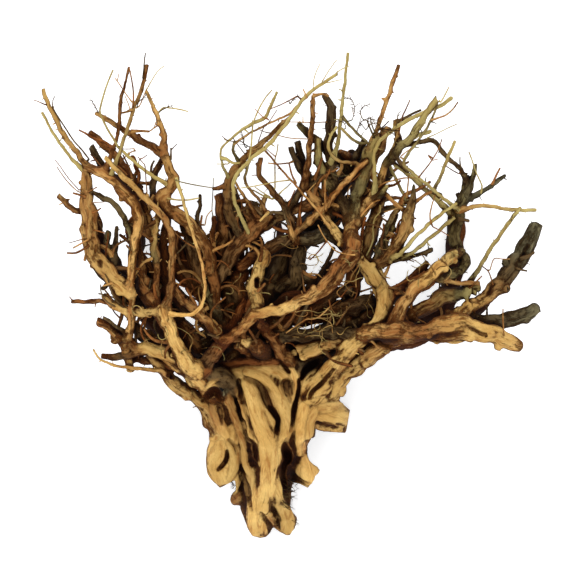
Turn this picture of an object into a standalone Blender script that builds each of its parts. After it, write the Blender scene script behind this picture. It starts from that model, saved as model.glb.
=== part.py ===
"""A dried root crown for an aquarium: a short sawn trunk from which some hundred roots fan out.

The wood grew in one piece, so it is one fused solid. It lies on its back: +X runs across it,
+Y from the sawn foot to the root tips and +Z up, away from the ground. Lengths are in metres.
"""

import math
import random

import bmesh
import bpy
import numpy as np

MILLIMETRE = 0.001

# The roots are measured on a flat sheet laid over the wood: millimetres across from the left
# edge of the sheet and down from its top edge, as seen from above its middle.
SHEET_MIDDLE = (285.0, 285.0)
SHEET_ORIGIN = (292.4, 302.6)
SHEET_HEIGHT = 120.0
EYE_DISTANCE = 4000.0

# Each root has points (across, down, height above the ground, radius) in millimetres.
# The first point is the free end and the last lies inside the root that carries it.
ROOTS = {
    "trunk core": [(268, 486, 26, 24), (268, 450, 42, 38), (268, 410, 61, 44), (266, 370, 84, 38),
        (262, 335, 102, 26)],
    "foot stub": [(262, 536, 8, 13), (260, 522, 12, 15), (261, 506, 28, 20), (264, 482, 44, 23),
        (265, 450, 64, 24), (262, 412, 88, 23), (258, 378, 106, 20), (262, 350, 115, 18)],
    "left lobe": [(225, 483, 39, 15), (226, 464, 50, 20), (227, 436, 69, 20), (223, 408, 88, 18),
        (222, 384, 105, 16), (234, 358, 114, 16)],
    "small fork": [(286, 529, 12, 9), (284, 512, 22, 11), (276, 482, 39, 15), (272, 440, 66, 16)],
    "right lobe": [(306, 485, 31, 12), (304, 469, 44, 15), (295, 447, 60, 14), (296, 418, 82, 19),
        (298, 380, 103, 20), (290, 348, 110, 16)],
    "right stub": [(334, 431, 67, 13), (332, 415, 77, 15.5), (320, 398, 90, 16), (308, 376, 98, 18)],
    "main pale root": [(164, 310, 185, 6.5), (167, 322, 182, 6.5), (172, 337, 175, 7),
        (180, 352, 162, 8), (190, 366, 147, 9), (202, 379, 130, 11), (218, 394, 113, 15)],
    "plate root": [(137, 349, 142, 4.5), (150, 348, 145, 6), (163, 353, 145, 7), (177, 362, 141, 8),
        (194, 377, 128, 10)],
    "flange rim": [(144, 349, 140, 4), (161, 366, 130, 5.5), (172, 382, 120, 7), (189, 393, 111, 8),
        (207, 408, 98, 10), (218, 432, 80, 14)],
    "rotten lump": [(205, 370, 134, 7), (218, 382, 125, 12), (232, 396, 110, 13)],
    "down stub": [(131, 371, 127, 4), (128, 356, 137, 4.4), (124, 340, 145, 5)],
    "brown log": [(124, 358, 119, 3.4), (141, 360, 123, 4.2), (160, 361, 126, 4.6), (180, 370, 124, 7)],
    "flat dark piece": [(101, 356, 132, 3), (113, 357, 134, 3.6), (126, 356, 137, 4),
        (140, 352, 140, 5)],
    "round dark stub": [(97, 321, 142, 4.6), (108, 327, 145, 4.8), (118, 333, 145, 4.8),
        (131, 341, 142, 5)],
    "end-on stub": [(115, 341, 165, 4.4), (118, 339, 152, 4.6), (124, 338, 140, 5)],
    "pale upright": [(129, 282, 175, 4), (131, 298, 175, 3.4), (132, 318, 169, 3.6),
        (129, 332, 158, 4.2), (123, 345, 144, 5.4)],
    "pale bridge": [(130, 313, 169, 3.4), (143, 313, 175, 4), (154, 312, 180, 4.6),
        (166, 311, 185, 5.6)],
    "left finger": [(71, 301.5, 152, 2.2), (85, 301.5, 152, 2.4), (100, 301.5, 155, 2.5),
        (116, 304, 159, 2.8), (131, 308, 165, 3.2)],
    "pale finger": [(103, 295, 160, 3.2), (110, 302, 161, 3.6), (118, 308, 164, 3.8),
        (131, 316, 166, 4)],
    "olive finger": [(102, 289, 130, 2.2), (109, 284, 132, 2.6), (120, 278, 142, 3.4)],
    "left limb": [(86, 163, 170, 3.6), (86, 180, 165, 5), (87, 197, 161, 6.2), (89, 215, 159, 7.6),
        (90, 236, 158, 7.8), (95, 255, 159, 7.4), (107, 272, 162, 7.8), (121, 285, 168, 7.4),
        (132, 295, 172, 5.6)],
    "under limb": [(90, 256, 140, 3.4), (96, 265, 138, 4.2), (107, 278, 140, 4.6), (124, 294, 150, 5)],
    "outer horn": [(43, 88.5, 185, 2.2), (45, 97, 184, 2.3), (50, 107, 184, 2.4), (61, 130, 180, 2.6),
        (74, 149, 175, 2.8), (87, 167, 169, 4)],
    "green horn": [(42, 112.5, 175, 1.3), (52, 131, 174, 1.4), (64, 149, 172, 1.6),
        (76, 163, 170, 1.8), (86, 173, 166, 2.6)],
    "grey side stub": [(58, 195, 155, 2.8), (65, 202, 155, 3), (73, 209, 155, 3.2), (86, 216, 156, 4)],
    "dark fork one": [(89, 133, 148, 3.8), (98, 139, 145, 3.6), (112, 152, 141, 4),
        (123, 167, 139, 4.6), (134, 184, 142, 5), (140, 204, 158, 5)],
    "dark fork two": [(91, 146, 132, 3.4), (96, 156, 132, 3.6), (103, 166, 132, 4),
        (113, 178, 138, 4.6), (126, 194, 152, 5)],
    "brown branch": [(95, 113, 185, 2.2), (105, 118, 184, 2.4), (122, 129, 181, 3),
        (140, 140, 179, 3.6), (152, 147, 178, 4), (165, 155, 178, 4.2)],
    "first wand": [(129, 67, 195, 1.2), (124, 88, 192, 1.4), (120, 105, 190, 1.9),
        (119, 128, 185, 1.8), (113, 150, 176, 2), (106, 168, 172, 3)],
    "second wand": [(147, 65, 210, 2), (142, 88, 205, 2), (134, 108, 200, 1.9), (128, 127, 195, 1.9),
        (122, 145, 191, 1.9), (115, 165, 188, 2), (108, 182, 178, 2.6)],
    "left cream stem": [(119, 148, 188, 1.3), (127, 155, 189, 1.5), (144, 170, 186, 1.7),
        (155, 177, 184, 1.8), (170, 186, 180, 2.2)],
    "hooked stub": [(132, 155, 174, 2), (137, 169, 174, 2), (139, 178, 172, 2.1), (134, 190, 174, 3)],
    "orange root": [(105, 157, 194, 2.2), (117, 170, 195, 2.8), (138, 191, 194, 3.2),
        (157, 210, 192, 3.4), (170, 229, 191, 3.5), (172, 248, 190, 3.5), (172, 270, 189, 3.5),
        (170, 292, 188, 4), (165, 310, 185, 5.5)],
    "bowed pale branch": [(88, 167, 172, 4.2), (104, 174, 178, 5.2), (120, 187, 180, 6.2),
        (132, 200, 180, 6), (138, 216, 180, 5.4), (138, 231, 180, 4.6), (134, 248, 179, 4),
        (132, 268, 176, 4), (129, 290, 174, 4.4)],
    "olive upright": [(118, 177, 170, 3), (134, 194, 168, 3.6), (145, 210, 164, 4), (151, 229, 160, 4),
        (156, 252, 158, 3.5), (157, 276, 158, 3.5), (156, 298, 164, 3.8), (162, 312, 178, 5)],
    "olive arc": [(91, 191, 166, 1.4), (100, 196, 168, 2.8), (115, 205, 168, 3), (127, 224, 169, 3),
        (133, 248, 171, 3.4)],
    "olive stub": [(109, 231, 140, 3), (107, 243, 139, 3.6), (110, 255, 140, 4), (118, 276, 148, 5)],
    "pale inner upright": [(160, 206, 171, 3), (156, 228, 166, 3), (153, 246, 161, 3.2),
        (155, 262, 159, 3.4)],
    "orange upper limb": [(146, 90, 200, 1.8), (150, 100, 198, 2), (159, 120, 192, 2.6),
        (164, 139, 186, 3.4), (164, 155, 181, 4.2)],
    "swan limb": [(163, 152, 180, 4.2), (168, 165, 181, 4.6), (174, 178, 181, 5), (169, 189, 180, 5.4),
        (162, 199, 179, 6), (166, 209, 178, 6.2), (178, 216, 175, 6.4), (192, 227, 171, 6.2),
        (202, 240, 165, 5.8), (209, 256, 156, 5.8), (213, 278, 146, 6), (215, 300, 138, 7)],
    "black branch": [(164, 156, 158, 3), (156, 171, 148, 3.2), (153, 188, 144, 3.5),
        (155, 203, 148, 3.6), (167, 214, 160, 4.5)],
    "front stem": [(176, 178, 188, 1.8), (183, 200, 195, 1.6), (190, 225, 201, 1.7),
        (198, 250, 205, 1.7), (204, 275, 205, 1.7), (204, 298, 202, 1.7), (196, 312, 199, 1.8),
        (179, 315, 194, 2), (165, 312, 186, 3)],
    "dark peg": [(200, 194, 160, 2), (200, 206, 159, 2), (197, 221, 160, 2.6), (199, 236, 161, 3.4)],
    "red peg": [(214, 216, 142, 2.4), (213, 235, 144, 2.6), (212, 256, 144, 3), (213, 282, 141, 4)],
    "pale plank": [(171, 284, 185, 3.4), (182, 299, 181, 4), (196, 312, 175, 4.2),
        (208, 323, 165, 4.6), (222, 336, 150, 6)],
    "olive plank": [(205, 284, 152, 2.8), (209, 298, 148, 3), (216, 318, 140, 4)],
    "red-brown root": [(268, 214, 140, 7.6), (247, 238, 142, 8), (231, 257, 140, 7.4),
        (219, 276, 138, 6.8), (214, 292, 135, 6.6), (216, 309, 132, 6.4), (222, 326, 130, 7),
        (234, 346, 120, 10)],
    "dark long limb": [(291, 116, 188, 1.5), (282, 124, 184, 2.4), (262, 143, 176, 3.2),
        (243, 160, 169, 4.2), (233, 173, 161, 4.6), (228, 189, 154, 4.8), (228, 206, 146, 4.6),
        (234, 224, 141, 5.2), (243, 240, 140, 6)],
    "long cream stem": [(337, 74, 220, 1.5), (325, 82, 218, 1.6), (306, 96, 212, 1.8),
        (290, 118, 205, 1.9), (270, 143, 198, 2), (250, 160, 190, 2), (235, 178, 182, 2),
        (234, 198, 174, 2), (241, 217, 161, 2.4), (250, 234, 148, 3.4)],
    "loop stem": [(277, 92, 205, 1.3), (273, 101, 204, 1.5), (265, 117, 200, 1.8),
        (254, 123, 198, 1.8), (240, 131, 195, 1.4), (229, 141, 190, 1.1), (221, 149, 185, 1.1),
        (222, 163, 179, 1.2), (230, 182, 165, 1.8)],
    "short drop": [(235, 141, 189, 1.3), (233, 151, 185, 1.4), (242, 166, 174, 2)],
    "bent black branch": [(261, 158, 170, 2.6), (259, 175, 165, 2.9), (272, 190, 160, 3.1),
        (284, 206, 155, 3.4), (291, 221, 150, 3.8), (296, 242, 140, 5)],
    "olive bow": [(249, 161, 182, 1.3), (245, 180, 176, 1.5), (253, 193, 170, 1.5),
        (263, 205, 161, 1.8), (272, 220, 149, 3)],
    "long diagonal": [(263, 148, 188, 1), (280, 168, 184, 1), (297, 187, 181, 1.1),
        (318, 211, 179, 1.4), (333, 231, 174, 2.2), (350, 250, 165, 4.2), (364, 265, 160, 5.4)],
    "prong one": [(291, 147, 172, 2.9), (294, 158, 169, 3.2), (303, 176, 160, 4.2)],
    "prong two": [(297, 141, 160, 3.4), (301, 158, 159, 3.8), (307, 177, 155, 5), (315, 198, 150, 7),
        (324, 220, 148, 9)],
    "upright tan branch": [(313, 95, 195, 2.2), (313, 112, 192, 2.6), (311, 130, 189, 2.8),
        (309, 150, 182, 3), (307, 168, 174, 3.2), (309, 188, 160, 4.4)],
    "black upright": [(324, 94, 168, 3), (331, 108, 166, 4.2), (330, 130, 164, 4.6),
        (329, 150, 161, 4.6), (333, 175, 158, 4.8), (338, 196, 152, 5.4), (345, 218, 150, 7)],
    "black slant": [(298, 123, 155, 2.8), (307, 133, 154, 3.6), (320, 143, 152, 4),
        (334, 157, 149, 4.4), (345, 178, 145, 5.5)],
    "dark block": [(338, 152, 140, 4.6), (348, 160, 140, 6), (357, 176, 138, 7.6), (360, 198, 138, 9),
        (352, 224, 142, 9)],
    "tall green stem": [(348, 53, 212, 1.4), (345, 80, 208, 1.5), (341, 116, 200, 1.8),
        (338, 142, 191, 2), (333, 162, 178, 2.6)],
    "green tie": [(340, 127, 196, 1.4), (355, 141, 192, 1.5), (370, 144, 188, 1.6),
        (382, 149, 180, 2.4)],
    "pale hook": [(337, 126, 199, 1.6), (328, 143, 198, 1.8), (333, 157, 195, 2), (345, 162, 192, 2.2),
        (358, 164, 188, 2.4), (370, 168, 178, 3.4)],
    "leaning stick": [(399, 64.5, 198, 2.2), (391, 88, 195, 2.3), (383, 112, 191, 2.4),
        (376, 131, 186, 2.5), (367, 146, 179, 3.2)],
    "striped limb": [(378, 136, 185, 2.6), (372, 146, 179, 5), (367, 160, 171, 5.8),
        (362, 178, 161, 6.2), (357, 200, 154, 7.2), (350, 226, 162, 8)],
    "pale arc stem": [(452, 97.5, 202, 1.9), (440, 106, 201, 2), (420, 114, 200, 2),
        (400, 125, 198, 2), (381, 140, 192, 2), (374, 156, 186, 2), (375, 174, 180, 2.1),
        (374, 192, 168, 3)],
    "dark peg top": [(396, 119, 172, 3), (397, 128, 171, 2.8), (398, 142, 170, 3.2),
        (391, 160, 168, 4)],
    "tan diagonal": [(368, 160, 182, 2.4), (355, 172, 182, 2.9), (340, 188, 179, 3),
        (326, 206, 171, 3.4), (312, 224, 158, 4.6)],
    "orange thick root": [(399, 132, 181, 2.2), (394, 147, 176, 2.5), (387, 162, 171, 3.2),
        (382, 177, 166, 4.6), (375, 194, 161, 6), (364, 209, 160, 6.4), (353, 223, 168, 6.8),
        (350, 241, 188, 7.6)],
    "dark short one": [(307, 176, 160, 3.2), (299, 193, 156, 3.6), (291, 209, 149, 4.4)],
    "red short one": [(266, 195, 150, 2.6), (262, 208, 148, 3.2), (258, 224, 140, 4.4)],
    "dark short two": [(249, 202, 138, 3.2), (250, 213, 135, 4.2), (254, 230, 132, 5.4)],
    "rust string": [(233, 177, 175, 1.2), (241, 192, 169, 1.8), (252, 208, 159, 2.2),
        (261, 222, 145, 3.2)],
    "olive cross root": [(248, 240, 135, 5.4), (262, 227, 138, 5.2), (276, 219, 140, 5),
        (292, 211, 140, 5), (312, 204, 138, 6.5)],
    "rust cross root": [(289, 238, 148, 3.6), (304, 225, 152, 3.6), (319, 214, 152, 4),
        (336, 208, 148, 5)],
    "pale knuckle": [(287, 218, 152, 3), (291, 231, 155, 4.2), (296, 246, 145, 5)],
    "rust slab": [(308, 190, 160, 3.4), (318, 203, 160, 4.4), (330, 219, 158, 5.4)],
    "thick stick": [(437, 100, 205, 3.3), (428, 112, 202, 3.6), (413, 135, 195, 3.9),
        (400, 148, 188, 4.2), (389, 163, 172, 5)],
    "yellow zigzag": [(437, 107, 212, 1.1), (427, 128, 210, 1.2), (416, 143, 208, 1.3),
        (404, 161, 202, 1.6), (407, 168, 200, 1.7), (425, 183, 195, 1.7), (446, 200, 186, 1.8),
        (460, 211, 168, 2.8)],
    "short cross stick": [(431, 131, 188, 1.8), (415, 137, 188, 2), (399, 142, 184, 2.2)],
    "black angular branch": [(409, 172, 180, 2.3), (395, 156, 184, 2.4), (400, 148, 185, 2.3),
        (415, 143, 185, 2.3), (433, 141, 184, 2.3), (446, 156, 180, 2.3), (461, 170, 170, 2.4),
        (468, 184, 155, 3.4)],
    "green stick": [(455, 141, 195, 1.5), (447, 160, 191, 1.7), (439, 180, 184, 1.7),
        (434, 196, 172, 2)],
    "tan run one": [(388, 158, 170, 2.6), (410, 176, 166, 2.5), (430, 193, 160, 2.6),
        (452, 216, 148, 4)],
    "tan run two": [(389, 164, 160, 1.6), (401, 190, 159, 1.6), (410, 204, 170, 2.4)],
    "tan tie": [(436, 190, 172, 1.5), (420, 198, 174, 1.6), (406, 207, 172, 2)],
    "grey peg": [(387, 186, 185, 2.4), (382, 193, 174, 3), (374, 201, 160, 4.4)],
    "spike limb": [(414, 184, 188, 1), (413, 195, 184, 3), (411, 207, 180, 5), (407, 221, 175, 6),
        (401, 237, 169, 6.4), (394, 250, 162, 6.4), (383, 261, 158, 6), (370, 268, 155, 6.6)],
    "rust run": [(410, 197, 172, 2.4), (398, 209, 168, 2.8), (387, 227, 161, 3), (382, 243, 158, 3.4),
        (376, 262, 154, 5)],
    "right dark limb": [(466, 175, 152, 3.6), (466, 190, 149, 4.6), (462, 203, 146, 6),
        (457, 219, 144, 6.4), (454, 236, 144, 6.4), (458, 251, 146, 6.2), (464, 263, 150, 5.4),
        (456, 273, 152, 5), (440, 278, 162, 5.4)],
    "right dark twin": [(475, 164, 160, 2.4), (473, 178, 156, 2.6), (467, 196, 149, 4)],
    "right inner peg": [(457, 193, 138, 2.4), (460, 201, 140, 3), (461, 212, 142, 4.4)],
    "right brown branch": [(506, 175, 150, 2.2), (488, 188, 149, 2.5), (475, 195, 148, 3.2),
        (464, 200, 146, 4.4)],
    "right tan rod": [(536, 210, 162, 1.8), (515, 210, 162, 1.9), (487, 206, 160, 1.9),
        (471, 207, 156, 2.1), (458, 212, 148, 3.6)],
    "right leaning rod": [(521, 207, 170, 1.9), (505, 228, 168, 2), (488, 253, 164, 2.1),
        (475, 275, 159, 2.5), (464, 292, 152, 4)],
    "tan stem one": [(457, 203, 170, 1.8), (440, 215, 176, 1.9), (418, 234, 176, 2),
        (402, 252, 171, 2.3), (390, 261, 160, 3.6)],
    "tan stem two": [(455, 217, 160, 2), (430, 238, 168, 1.9), (411, 253, 165, 2.1),
        (394, 259, 159, 3.4)],
    "dark rod": [(433, 249, 160, 2.2), (420, 254, 160, 2.3), (404, 259, 160, 2.6), (388, 264, 156, 4)],
    "far right root": [(536, 225, 128, 5.6), (530, 239, 130, 7), (522, 253, 132, 8),
        (513, 267, 136, 8.6), (503, 281, 140, 8.2), (491, 293, 144, 7.4), (478, 303, 148, 6.4),
        (464, 310, 152, 6), (450, 320, 165, 8)],
    "far right spur": [(505, 261, 150, 3.4), (512, 268, 140, 5)],
    "right pale root": [(462, 250, 150, 4.6), (448, 260, 170, 6), (436, 270, 184, 6.8),
        (424, 281, 188, 6.8), (412, 293, 189, 6.6), (402, 306, 189, 7), (394, 322, 188, 9)],
    "right dark root": [(480, 287, 142, 4.4), (462, 291, 145, 6.6), (446, 296, 150, 7.4),
        (432, 304, 154, 7.6), (416, 313, 156, 7.6), (400, 326, 158, 9), (384, 336, 155, 10)],
    "woody strip": [(480, 283, 170, 2.2), (462, 283, 171, 2.4), (446, 281, 172, 2.8),
        (436, 284, 172, 4)],
    "olive stub right": [(468, 285, 165, 3.4), (466, 293, 162, 5), (458, 302, 155, 6)],
    "low right root": [(521, 347, 165, 5), (509, 342, 170, 6.8), (495, 335, 175, 8),
        (474, 330, 182, 9.8), (450, 327, 190, 11.5), (424, 332, 192, 9), (402, 334, 191, 10.5),
        (382, 332, 182, 10), (366, 334, 170, 9)],
    "low right keel": [(484, 336, 162, 4), (468, 336, 165, 5), (452, 336, 169, 7), (430, 334, 172, 7),
        (408, 338, 170, 8)],
    "right ledge": [(537, 307, 134, 5.4), (529, 312, 135, 6.4), (516, 318, 138, 7),
        (502, 321, 140, 6.6), (486, 320, 142, 6), (470, 318, 146, 6), (454, 315, 151, 6),
        (438, 318, 165, 8)],
    "great arch": [(352, 236, 185, 7.4), (351, 250, 202, 8), (343, 264, 211, 8.8),
        (333, 277, 216, 8.2), (322, 288, 216, 7.4), (307, 298, 214, 6.4), (290, 306, 209, 5.6),
        (272, 311, 202, 5.5), (256, 315, 194, 5.5), (244, 325, 182, 5.1), (232, 337, 168, 5.1),
        (218, 347, 150, 6.4), (204, 360, 136, 9)],
    "bent pale root": [(346, 244, 150, 8), (364, 263, 152, 7.4), (377, 280, 158, 7.6),
        (384, 296, 165, 8), (385, 309, 170, 8), (379, 321, 171, 8), (366, 333, 168, 8),
        (350, 347, 159, 8), (336, 363, 144, 8.4), (322, 382, 126, 11), (308, 404, 106, 15)],
    "low bent root": [(394, 338, 168, 8.4), (374, 352, 155, 8.4), (358, 364, 140, 8.4),
        (344, 375, 126, 8.6), (333, 388, 114, 10), (326, 402, 99, 13)],
    "spongy upright": [(264, 254, 152, 5), (258, 272, 159, 6.2), (255, 288, 162, 6.4),
        (256, 303, 175, 6), (258, 316, 191, 5.2)],
    "shadow cross root": [(238, 268, 135, 6), (256, 257, 135, 6), (274, 246, 136, 6),
        (292, 238, 139, 6.4), (312, 238, 142, 7), (330, 233, 146, 8), (346, 236, 155, 9)],
    "black prop": [(334, 247, 160, 2.2), (328, 260, 155, 2.1), (320, 280, 148, 2.5),
        (313, 300, 138, 4)],
    "inner red root": [(259, 314, 185, 4), (262, 325, 160, 5.4), (270, 337, 146, 6),
        (281, 351, 134, 6.6), (291, 367, 121, 8.4), (297, 386, 111, 11)],
    "inner dark root": [(238, 332, 135, 5.4), (262, 335, 139, 5.6), (286, 336, 142, 6),
        (311, 334, 146, 6), (336, 332, 152, 6), (357, 330, 161, 6.4)],
    "inner pale strip": [(296, 349, 132, 4), (315, 345, 135, 5.4), (334, 342, 141, 6),
        (352, 338, 152, 6.6)],
    "knot stub": [(258, 347, 165, 8.4), (262, 350, 142, 9), (266, 356, 119, 11)],
    "knot collar": [(242, 343, 155, 6), (246, 347, 140, 8), (252, 354, 122, 10)],
    "crown core": [(300, 236, 100, 11), (286, 258, 98, 14), (274, 286, 95, 16), (266, 314, 98, 19),
        (264, 346, 98, 26)],
    "crown core right": [(380, 304, 125, 9), (362, 322, 115, 13), (334, 340, 105, 18),
        (300, 360, 96, 26)],
    "crown core top": [(352, 204, 118, 8), (330, 217, 108, 11), (308, 229, 100, 12),
        (288, 252, 95, 13)],
    "back left root": [(140, 194, 9, 6), (139, 212, 5, 8), (137, 240, 12, 8.4), (136, 268, 26, 9),
        (144, 302, 40, 10), (166, 336, 52, 11), (200, 352, 65, 13), (238, 356, 79, 18)],
    "back right root": [(457, 206, 8, 6), (456, 225, 5, 7.8), (455, 248, 11, 8.4), (452, 277, 21, 9),
        (445, 305, 31, 10), (422, 329, 42, 11), (388, 341, 55, 12), (345, 353, 67, 14),
        (298, 364, 78, 20)],
    "back middle root": [(352, 150, 48, 3.6), (348, 170, 38, 6), (335, 195, 38, 9), (310, 225, 45, 11),
        (286, 262, 52, 12), (272, 296, 65, 14), (268, 332, 80, 18)],
    "left prop": [(93, 212, 142, 5), (98, 238, 125, 6.4), (112, 264, 102, 7.4), (130, 289, 78, 8.2),
        (148, 316, 52, 9)],
    "right prop": [(514, 262, 130, 5), (500, 283, 115, 6.4), (482, 302, 92, 7.6), (456, 320, 68, 8.4),
        (420, 332, 45, 10)],
    "back top left": [(229, 188, 132, 4), (240, 210, 108, 6), (252, 232, 88, 7.4), (262, 262, 72, 9),
        (272, 298, 68, 11)],
    "back top right": [(388, 164, 152, 3.4), (383, 180, 128, 5.4), (368, 195, 100, 7),
        (344, 206, 72, 8.4), (310, 226, 52, 10)],
    "back spur one": [(277, 218, 10, 3.4), (281, 240, 25, 4.6), (286, 264, 48, 7)],
    "back spur two": [(142, 354, 14, 3.6), (150, 346, 30, 4.8), (168, 338, 52, 7)],
    "back spur three": [(418, 341, 8, 4), (402, 344, 25, 5.2), (386, 342, 50, 7)],
    "back spur four": [(292, 330, 18, 5), (286, 350, 32, 7.4), (272, 380, 50, 12)],
    "foot side spur": [(231, 499, 29, 6), (242, 496, 32, 9), (256, 488, 38, 12)],
    "low pale runner": [(93, 349, 155, 1.1), (101, 360, 153, 1.4), (118, 366, 150, 1.8),
        (140, 369, 146, 2.2), (160, 371, 139, 2.8), (178, 378, 128, 4.4)],
    "brown knob root": [(212, 189, 158, 1.8), (222, 187, 154, 2.6), (232, 186, 148, 3.6)],
    "filler a": [(137, 230, 138, 3.4), (140, 262, 135, 5.6), (145, 290, 138, 6.6),
        (160, 320, 145, 7.4)],
    "filler b": [(168, 220, 148, 4), (162, 248, 138, 5.6), (164, 280, 132, 7), (174, 312, 128, 7.6),
        (192, 344, 120, 10)],
    "filler c": [(183, 216, 142, 4.4), (190, 240, 132, 6.2), (197, 268, 128, 7.6),
        (208, 300, 120, 8.4), (224, 338, 110, 12)],
    "filler d": [(221, 194, 132, 5), (223, 222, 128, 7.6), (221, 250, 122, 8), (227, 282, 116, 8),
        (240, 318, 110, 12)],
    "filler e": [(300, 244, 122, 6.4), (297, 268, 115, 8), (292, 294, 110, 10), (286, 324, 108, 14)],
    "filler f": [(374, 300, 140, 6), (352, 305, 130, 8), (326, 312, 120, 10), (298, 324, 110, 12)],
    "filler g": [(352, 254, 138, 6), (353, 272, 130, 8), (351, 292, 125, 9), (342, 316, 118, 11)],
    "filler h": [(384, 196, 148, 3.6), (376, 214, 144, 6), (370, 234, 142, 8), (366, 256, 145, 7.4)],
    "filler i": [(442, 267, 150, 2.6), (421, 275, 146, 3.6), (403, 287, 148, 5), (394, 304, 155, 7)],
    "filler k": [(396, 213, 155, 3), (389, 232, 150, 4), (383, 252, 148, 5.4)],
    "filler l": [(389, 127, 165, 3.6), (382, 140, 165, 5), (375, 154, 160, 6), (366, 176, 150, 7)],
    "filler m": [(364, 140, 165, 2.8), (359, 152, 160, 4), (352, 170, 150, 5.4)],
    "filler n": [(318, 138, 160, 3.4), (320, 165, 155, 4.4), (327, 192, 150, 6)],
    "filler p": [(131, 322, 145, 3.6), (142, 334, 138, 6), (160, 347, 128, 9), (196, 356, 109, 13)],
    "filler q": [(241, 264, 130, 5), (238, 290, 120, 7.4), (246, 322, 112, 12)],
    "filler r": [(224, 330, 102, 8), (206, 342, 102, 10), (184, 352, 105, 10)],
}

# Hollows have points (across, down, height, radius) too, and are cut out of the fused wood.
HOLLOWS = {
    "knot hole": [(287, 388, 125, 7.5), (286, 388, 104, 6.5), (284, 387, 92, 4)],
    "main groove": [(251, 381, 116, 2.6), (258, 385, 112, 3.4), (266, 394, 111, 3.6),
        (274, 409, 104, 4), (279, 425, 96, 3.6), (276, 438, 91, 2.4)],
    "side groove": [(246, 436, 88, 2), (254, 447, 86, 3.2), (257, 463, 80, 2.4)],
    "right groove": [(297, 380, 114, 2.6), (295, 408, 102, 3.2), (285, 441, 84, 4.6),
        (282, 462, 70, 6), (284, 486, 52, 5.4), (290, 506, 33, 3)],
    "foot groove": [(270, 498, 56, 2), (275, 512, 33, 2.8), (286, 527, 24, 2.6)],
    "left groove": [(228, 448, 84, 2), (228, 457, 78, 2.8), (218, 472, 64, 2.2)],
    "scar": [(306, 402, 114, 2.2), (315, 389, 125, 3), (328, 376, 139, 3.4), (337, 366, 150, 2.2)],
    "sponge hole": [(257, 283, 178, 3.2), (257, 283, 158, 3)],
    "limb knot": [(100, 264, 180, 3.2), (100, 264, 160, 2.6)],
}

# A smooth curve is sampled in this step, and then keeps only the corners that its bends need.
CURVE_STEP = 4.0
THIN_BEND = 1.3
BEND_PER_RADIUS = 0.16
LONGEST_STRAIGHT = 50.0
# A root sits in wood at least this share of its own thickness, this share of the carrier's radius
# off the carrier's axis. Sideways distance counts more than height in the choice of the carrier.
CARRIER_SHARE = 0.6
SEAT_DEPTH = 0.35
HEIGHT_WEIGHT = 0.45
FOLLOWING_SHARE = 0.5
# Uneven growth: largest share by which a root's radius strays at a corner.
UNEVENNESS = 0.07
RANDOM_SEED = 7
# Most sides that a root of at most this radius gets.
SIDES_BY_RADIUS = ((3.0, 4), (7.0, 6), (14.0, 8), (99.0, 12))
BLOCK_SIZE = 1.0
WELD_DISTANCE = 0.00001
SHARP_ANGLE = math.radians(50)
WOOD_COLOUR = (0.47, 0.29, 0.14, 1.0)
WOOD_ROUGHNESS = 0.75


def clear_scene():
    """Remove every object, so that the wood stands alone."""
    for old in list(bpy.data.objects):
        bpy.data.objects.remove(old, do_unlink=True)


def new_collection(name):
    """Make a collection of this name under the scene."""
    made = bpy.data.collections.new(name)
    bpy.context.scene.collection.children.link(made)
    return made


def wood_material():
    """Dry root wood between bare tan and brown bark."""
    material = bpy.data.materials.new("wood")
    material.use_nodes = True
    shader = material.node_tree.nodes["Principled BSDF"]
    shader.inputs["Base Color"].default_value = WOOD_COLOUR
    shader.inputs["Roughness"].default_value = WOOD_ROUGHNESS
    material.diffuse_color = WOOD_COLOUR
    return material


def placed(point):
    """Turn a point on the sheet, seen from one eye point, into (x, y, z, radius) in millimetres."""
    across, down, height, radius = point
    spread = 1.0 - (height - SHEET_HEIGHT) / EYE_DISTANCE
    x = SHEET_MIDDLE[0] - SHEET_ORIGIN[0] + (across - SHEET_MIDDLE[0]) * spread
    y = SHEET_ORIGIN[1] - SHEET_MIDDLE[1] - (down - SHEET_MIDDLE[1]) * spread
    return np.array((x, y, height, radius))


def curve_through(knots):
    """Sample a smooth curve through the knots of a root, in short even steps."""
    before = 2 * knots[0] - knots[1]
    after = 2 * knots[-1] - knots[-2]
    knots = np.vstack((before, knots, after))
    samples = []
    for first in range(1, len(knots) - 2):
        a, b, c, d = knots[first - 1:first + 3]
        length = np.linalg.norm(c[:3] - b[:3])
        count = max(1, round(length / CURVE_STEP))
        for t in np.linspace(0.0, 1.0, count, endpoint=False):
            slope = (c - a) * t + (2 * a - 5 * b + 4 * c - d) * t ** 2 + (3 * b - a - 3 * c + d) * t ** 3
            samples.append(b + 0.5 * slope)
    samples.append(knots[-2])
    return np.array(samples)


def seat(end, grown):
    """Gap between a root's end and the grown wood that could carry it, and the nearest point there."""
    able = grown[grown[:, 3] >= CARRIER_SHARE * end[3]]
    if not len(able):
        return math.inf, end
    away = able[:, :3] - end[:3]
    away[:, 2] *= HEIGHT_WEIGHT
    gaps = np.linalg.norm(away, axis=1) - able[:, 3]
    nearest = gaps.argmin()
    return gaps[nearest], able[nearest]


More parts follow.
